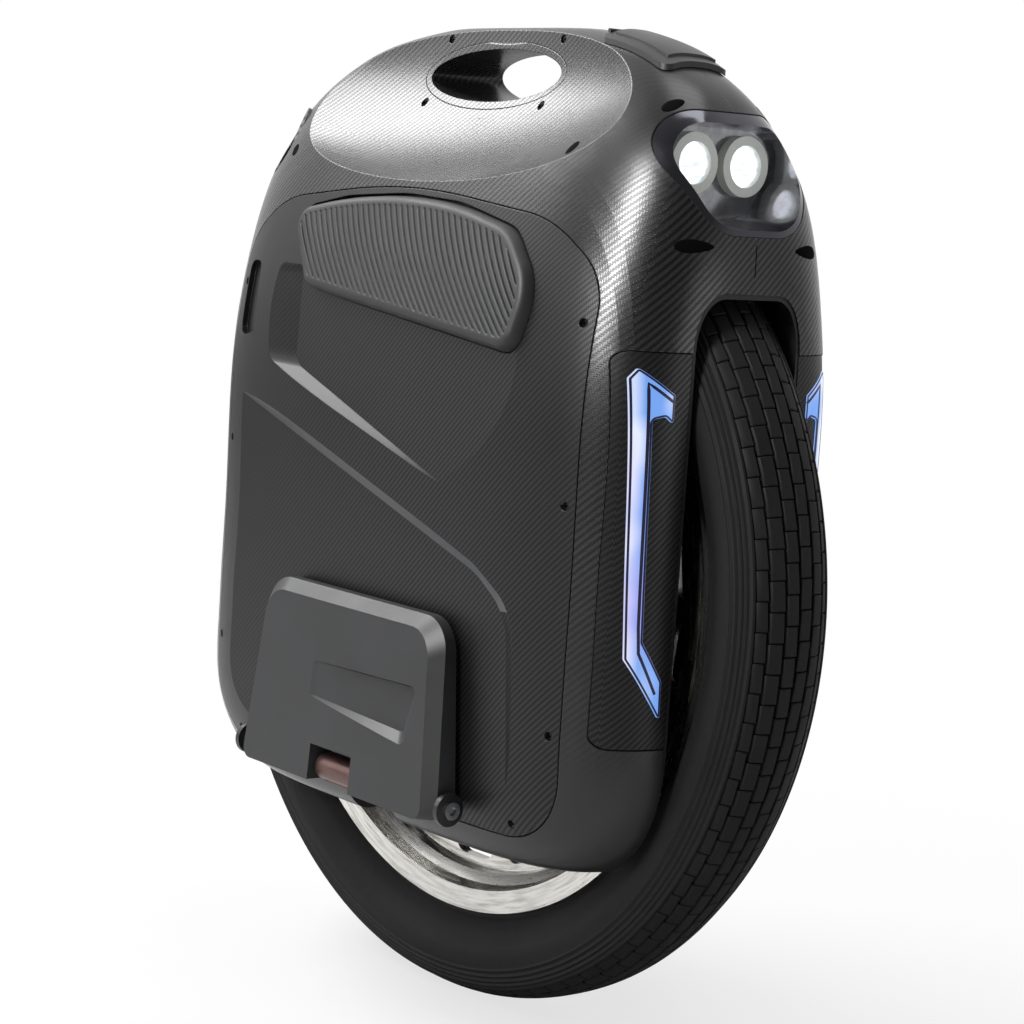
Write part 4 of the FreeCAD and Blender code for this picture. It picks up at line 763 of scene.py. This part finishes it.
def make_channels(front_edge, rear_edge):
    """Dark channel line and dark border moulded in each light guide, laid on the guide's own face."""
    channel = [Vector(p) for p in CHANNEL]
    border = rounded_outline(LENS_LINE, LENS_ROUNDS, 1.0)
    for place, end, dark in (("front", 1, front_edge), ("rear", -1, rear_edge)):
        for side, body_side in (("right", -1), ("left", 1)):
            guide = f"{side}_{place}_light_"
            face = face_of(guide + "lens")
            points, faces = [], []
            lay_line(points, faces, face, channel, CHANNEL_WIDTH, False, body_side, end)
            lay_line(points, faces, face, border, BORDER_WIDTH, True, body_side, end)
            made = mesh_of(guide + "channel", points, faces, smooth=False)
            made.materials.append(dark)
            shown(guide + "channel", made, "chassis", "black_plastic")


# Shell details, in millimetres

# place along X and height of the screw bores that run in along Y
BORES = ((230, 537.5), (137.5, 593.5), (190.5, 623.5), (-166.5, 582.5))
BORE_RADIUS = 4.6
BORE_CORNERS = 24
# rings of a bore's dark mouth, which is painted shade: share of its radius, and how far it stands proud of the shell
BORE_RINGS = ((1.0, -0.3), (0.92, 0.15), (0.6, 0.15), (0.25, 0.15))
# the hairline's section: place across the wheel's plane, and how far it stands proud of the shell
SEAM_SECTION = ((-0.35, -0.3), (-0.35, 0.12), (0.35, 0.12), (0.35, -0.3))
# from and to which angle the hairline runs, seen from a point inside the body, with two steps a degree
SEAM_ARCS = ((16.5, 21), (67, 163))
SEAM_CENTRE = Vector((0, 0, 0.45))
SEAM_STEPS = 2
# rays start this far out, clear of the body, in metres
CLEAR_SIDE, CLEAR_ROUND = 0.3, 0.5


def make_bores(dark):
    """Painted shade in the bores for the screws that join the shells: dark discs laid on the shell's own face."""
    face = face_of(*both("shell"))
    points, faces = [], []
    for x, z in BORES:
        for side in (-1, 1):
            start = len(points)
            for share, lift in BORE_RINGS:
                for k in range(BORE_CORNERS):
                    angle = 2 * math.pi * k / BORE_CORNERS
                    spot = Vector(((x + share * BORE_RADIUS * math.cos(angle)) * MM, side * CLEAR_SIDE,
                                   (z + share * BORE_RADIUS * math.sin(angle)) * MM))
                    hit, out = face.ray_cast(spot, Vector((0, -side, 0)))[:2]
                    points.append(hit + out * lift * MM)
            faces += band(start, len(BORE_RINGS), BORE_CORNERS)
            faces += [tuple(range(len(points) - BORE_CORNERS, len(points))), tuple(range(start, start + BORE_CORNERS))]
    made = mesh_of("shell_bores", points, faces)
    made.materials.append(dark)
    shown("shell_bores", made, "chassis", "black_plastic")


def make_seam(dark):
    """Hairline where the two shells meet, on the nose, over the top and down the back."""
    face = face_of(*both("shell"))
    points, faces = [], []
    count = len(SEAM_SECTION)
    for low, high in SEAM_ARCS:
        start = len(points)
        parts = int((high - low) * SEAM_STEPS)
        for k in range(parts + 1):
            angle = math.radians(low + (high - low) * k / parts)
            away = Vector((math.cos(angle), 0, math.sin(angle)))
            for y, lift in SEAM_SECTION:
                hit = face.ray_cast(SEAM_CENTRE + away * CLEAR_ROUND + Vector((0, y * MM, 0)), -away)[0]
                points.append(hit + away * lift * MM)
        faces += band(start, parts + 1, count)
        faces += [tuple(range(start, start + count)), tuple(range(len(points) - count, len(points)))]
    made = mesh_of("shell_seam", points, faces, smooth=False)
    made.materials.append(dark)
    shown("shell_seam", made, "chassis", "black_plastic")


# Stage

CAMERA_PLACE = (1.4399, -1.1633, 0.5650)
CAMERA_TURN = (50.84, 6.92, 3.87)
CAMERA_LENS = 93.34
# where the white backdrop stands, how bright the darker side of the room mirrors, and the room's own soft light
BACKDROP = (-0.77, 0.63, -0.12)
ROOM_SIDE = 0.15
ROOM_FILL = 0.28
FLOOR_REACH = 14.0
# the floor turns to the backdrop's white between these distances from the object, from the first share on
FLOOR_FADE = (0.1, 0.9)
FLOOR_WHITE = 0.72
# name, place, aim, size, power, and whether it is a card that only shows as a reflection
LAMPS = (
    ("key_softbox", (-1.4, -0.75, 2.15), (0, 0, 0.5), (1.3, 1.1), 64, False),
    ("side_softbox", (-1.8, -1.7, 1.3), (0, 0, 0.4), (1.0, 1.2), 9, False),
    ("nose_card", (0.35, -1.9, 1.55), (0.1, 0, 0.45), (0.42, 1.5), 95, True),
    ("front_softbox", (1.8, 0.7, 0.3), (0.2, 0, 0.3), (0.8, 0.5), 3, False),
    ("top_softbox", (0.2, 0.3, 2.4), (0, 0, 0.4), (0.9, 0.9), 8, False),
)


def add_camera():
    azimuth, rise, roll = (math.radians(a) for a in CAMERA_TURN)
    back = Vector((math.sin(azimuth) * math.cos(rise), -math.cos(azimuth) * math.cos(rise), math.sin(rise)))
    level = Vector((math.cos(azimuth), math.sin(azimuth), 0))
    upright = back.cross(level)
    right = level * math.cos(roll) + upright * math.sin(roll)
    up = upright * math.cos(roll) - level * math.sin(roll)
    data = bpy.data.cameras.new("photo_camera")
    data.lens, data.sensor_width = CAMERA_LENS, 36
    camera = bpy.data.objects.new("photo_camera", data)
    turn = Matrix((right, up, back)).transposed()
    camera.matrix_world = Matrix.Translation(CAMERA_PLACE) @ turn.to_4x4()
    bpy.context.scene.collection.objects.link(camera)
    bpy.context.scene.camera = camera


def add_lamps():
    for name, place, aim, size, power, card in LAMPS:
        data = bpy.data.lights.new(name, "AREA")
        data.shape, data.size, data.size_y, data.energy = "RECTANGLE", size[0], size[1], power
        lamp = bpy.data.objects.new(name, data)
        lamp.location = place
        lamp.visible_diffuse = not card
        lamp.rotation_euler = (Vector(place) - Vector(aim)).to_track_quat("Z", "Y").to_euler()
        bpy.context.scene.collection.objects.link(lamp)


def add_world():
    """White to the camera, a white backdrop and a darker room in mirrors and glass, and a soft even fill."""
    world = bpy.data.worlds.new("white_studio")
    bpy.context.scene.world = world
    world.use_nodes = True
    tree = world.node_tree
    tree.nodes.clear()
    rays = put(tree, "ShaderNodeLightPath").outputs
    mirror = calc(tree, "MAXIMUM", rays["Is Glossy Ray"], rays["Is Transmission Ray"])
    place = put(tree, "ShaderNodeTexCoord").outputs["Generated"]
    ahead = put(tree, "ShaderNodeVectorMath", {0: place, 1: BACKDROP}, operation="DOT_PRODUCT")
    room = ranged(tree, ahead.outputs["Value"], -0.5, 0.5, ROOM_SIDE, 1.0)
    unseen = blended(tree, mirror, ROOM_FILL, room)
    strength = blended(tree, rays["Is Camera Ray"], unseen, 1.0)
    white = put(tree, "ShaderNodeBackground", {"Color": (1, 1, 1, 1), "Strength": strength})
    put(tree, "ShaderNodeOutputWorld", {"Surface": white.outputs[0]})


def add_floor():
    """Pale floor that keeps the object's shadow and runs out into the white background."""
    mesh = bpy.data.meshes.new("floor")
    corners = [(x * FLOOR_REACH, y * FLOOR_REACH, 0) for x, y in ((-1, -1), (1, -1), (1, 1), (-1, 1))]
    mesh.from_pydata(corners, [], [(0, 1, 2, 3)])
    floor = bpy.data.objects.new("floor", mesh)
    bpy.context.scene.collection.objects.link(floor)
    made, tree, shader = surface("pale_floor", {"Base Color": (0.86, 0.86, 0.86, 1), "Roughness": 0.9})
    rays = put(tree, "ShaderNodeLightPath").outputs
    place = put(tree, "ShaderNodeTexCoord").outputs["Object"]
    away = put(tree, "ShaderNodeVectorMath", {0: place}, operation="LENGTH")
    share = ranged(tree, away.outputs["Value"], *FLOOR_FADE, FLOOR_WHITE)
    fade = calc(tree, "MULTIPLY", share, rays["Is Camera Ray"])
    glow = put(tree, "ShaderNodeEmission", {"Color": (1, 1, 1, 1), "Strength": 1.0})
    mixed = put(tree, "ShaderNodeMixShader", {0: fade, 1: shader.outputs[0], 2: glow.outputs[0]})
    tree.links.new(mixed.outputs[0], tree.nodes["Material Output"].inputs["Surface"])
    mesh.materials.append(made)


# Dress the solids


def dress(material, *names):
    for name in names:
        nodes[name].material_slots[0].material = material


def dress_body():
    # satin film: the diagonal weave glints on the nose and the dish, and is drawn out towards the foot
    shell = twill_film("satin_twill_shell", 1.3, "#0f0f10", "#333335", 0.3, 0.03, 0.5, ("Z", 0.2, 0.34, 0.0),
                       brow=(0.1, 0.14))
    # the same film, duller, with bare moulded walls whose light, shade and reflection are painted into their colour
    panel = twill_film("satin_twill_panel", 1.1, "#0f0f10", "#252527", 0.42, 0.03, 0.32, ("X", -0.17, 0.05, 0.25),
                       walls=True)
    # the same film, darkest beside the light strips
    trim = twill_film("satin_twill_trim", 1.1, "#0a0a0b", "#1f1f21", 0.4, 0.03, 0.35)
    # fine spark texture: soft, even highlights on black
    black = grained("moulded_black_abs", "#101011", "#1a1a1b", 0.34, 0.9, 0.02)
    # coarse and dull: the arch stays a dark hollow
    liner = grained("moulded_polypropylene", "#0c0c0d", "#161617", 0.6, 1.6, 0.05)
    # a little greyer and softer than the shell it lies on; part of that grey is painted sheen, the flap's shine at a
    # grazing view
    flap = grained("moulded_silicone_rubber", "#252526", "#333335", 0.42, 1.2, 0.04)
    # blackened screws that glint only at their edges
    oxide = grained("black_oxide_steel", "#0d0d0e", "#1b1b1d", 0.3, 1.0, 0.01, {"Metallic": 0.6})
    dress(shell, *both("shell", "handle_bezel"))
    dress(panel, *both("side_panel"))
    dress(trim, *both("front_light_panel", "rear_light_panel"))
    dress(black, *both("pedal_caps", "speaker_grille"), "port_tray", "cooling_fan", "power_button")
    dress(liner, "wheel_arch")
    dress(flap, "port_flap")
    dress(oxide, "panel_screws", "handle_screws")
    return black


def dress_lights():
    # ground plastic: pale rings without a highlight
    frost = grained("frosted_polycarbonate", "#ccd0ca", "#e2e5e0", 0.45, 1.0, 0.02)
    # unlit tail light: deep red under a clear gloss
    red = grained("clear_red_acrylic", "#7c0b13", "#b01a22", 0.14, 4.0, 0.01, {"Coat Weight": 0.6})
    dress(rimmed_chrome(), "headlamp_bowl")
    dress(frost, "headlamp_rings")
    dress(lamp_lens(), "headlamp_lenses")
    dress(strip_light("lit_light_guide", "#e6edff", "#74a3ef", "#b9a6f2"), *both("front_light_lens"))
    dress(red, *both("rear_light_lens"))


def dress_pedals():
    # powder coat: even grey with a faint orange peel
    coat = grained("powder_coated_magnesium", "#1c1d1f", "#2a2b2e", 0.48, 0.8, 0.05)
    # dull and speckled; the grain is about twice the real grit, so that it shows
    grit = grained("grit_tape", "#0c0c0c", "#2a2a2a", 0.9, 0.9, 0.5)
    # reddish brown metal with a satin sheen
    anodised = grained("anodised_aluminium", "#553f3c", "#735a55", 0.4, 0.7, 0.03, {"Metallic": 0.75})
    dress(coat, *both("pedal"))
    dress(grit, *both("pedal_grip"))
    dress(anodised, *both("pedal_hanger"))


def dress_wheel():
    # satin black paint that keeps a trace of the casting
    cover = grained("painted_cast_aluminium", "#1b1c1d", "#2b2c2e", 0.42, 1.5, 0.06)
    # bright, slightly cloudy plating
    zinc = grained("zinc_plated_steel", "#8d8f92", "#c3c5c7", 0.3, 1.2, 0.01, {"Metallic": 1.0})
    # warm yellow metal
    brass = grained("plain_brass", "#8f7338", "#c7a65a", 0.35, 1.2, 0.01, {"Metallic": 1.0})
    # bright flange with road film in streaks round the wheel
    rim = turned_metal("polished_cast_aluminium", "#aeaba5", "#d2d1cd", 0.18, 0.8)
    # grey metal with fine lathe rings
    steel = turned_metal("turned_steel", "#6f7174", "#b4b6b9", 0.26, 0.5)
    # brown varnish over iron
    lacquer = grained("lacquered_iron", "#3a322b", "#5c5043", 0.45, 1.2, 0.04, {"Metallic": 0.6})
    dress(cover, *both("motor_cover"))
    dress(zinc, "cover_screws", "axle_nuts", *both("pedal_pin"))
    dress(brass, "valve")
    dress(rim, "rim")
    dress(steel, "axle", "wheel_bearings", "magnet_ring", "charge_socket", "button_bezel", "heat_sink")
    dress(lacquer, "stator")


def dress_inside():
    # blue film drawn tight over the cells, with slow waves
    wrap = grained("heat_shrink_pvc", "#173257", "#27507f", 0.34, 5.0, 0.05)
    # green lacquer over the weave of the board
    board = grained("coated_glass_epoxy", "#173d23", "#27603a", 0.36, 1.5, 0.03)
    dress(wrap, *both("front_battery", "rear_battery"))
    dress(board, "control_board")


def main():
    black = dress_body()
    dress_lights()
    dress_pedals()
    dress_wheel()
    dress_inside()
    # dull black that never shines, as worn rubber is
    make_tyre(grained("vulcanised_tyre_rubber", "#0a0a0a", "#181818", 0.68, 2.2, 0.08, {"Specular IOR Level": 0.22}))
    make_pads(grooved_foam())
    # the guide's own edge, where no light leaves it: near black with a violet tinge
    edge = surface("tinted_guide_edge", {"Base Color": linear("#1d1540"), "Roughness": 0.3})[0]
    make_channels(edge, black)
    # near black: painted shade in the screw bores, which are too deep for light, and the dark hairline where the
    # shells meet
    shade = surface("bore_shade_and_seam_black", {"Base Color": linear("#040404"), "Roughness": 0.9,
                                         "Specular IOR Level": 0.05})[0]
    make_bores(shade)
    make_seam(shade)
    add_camera()
    add_world()
    add_floor()
    add_lamps()
    bpy.context.scene.view_settings.view_transform = "Standard"


main()
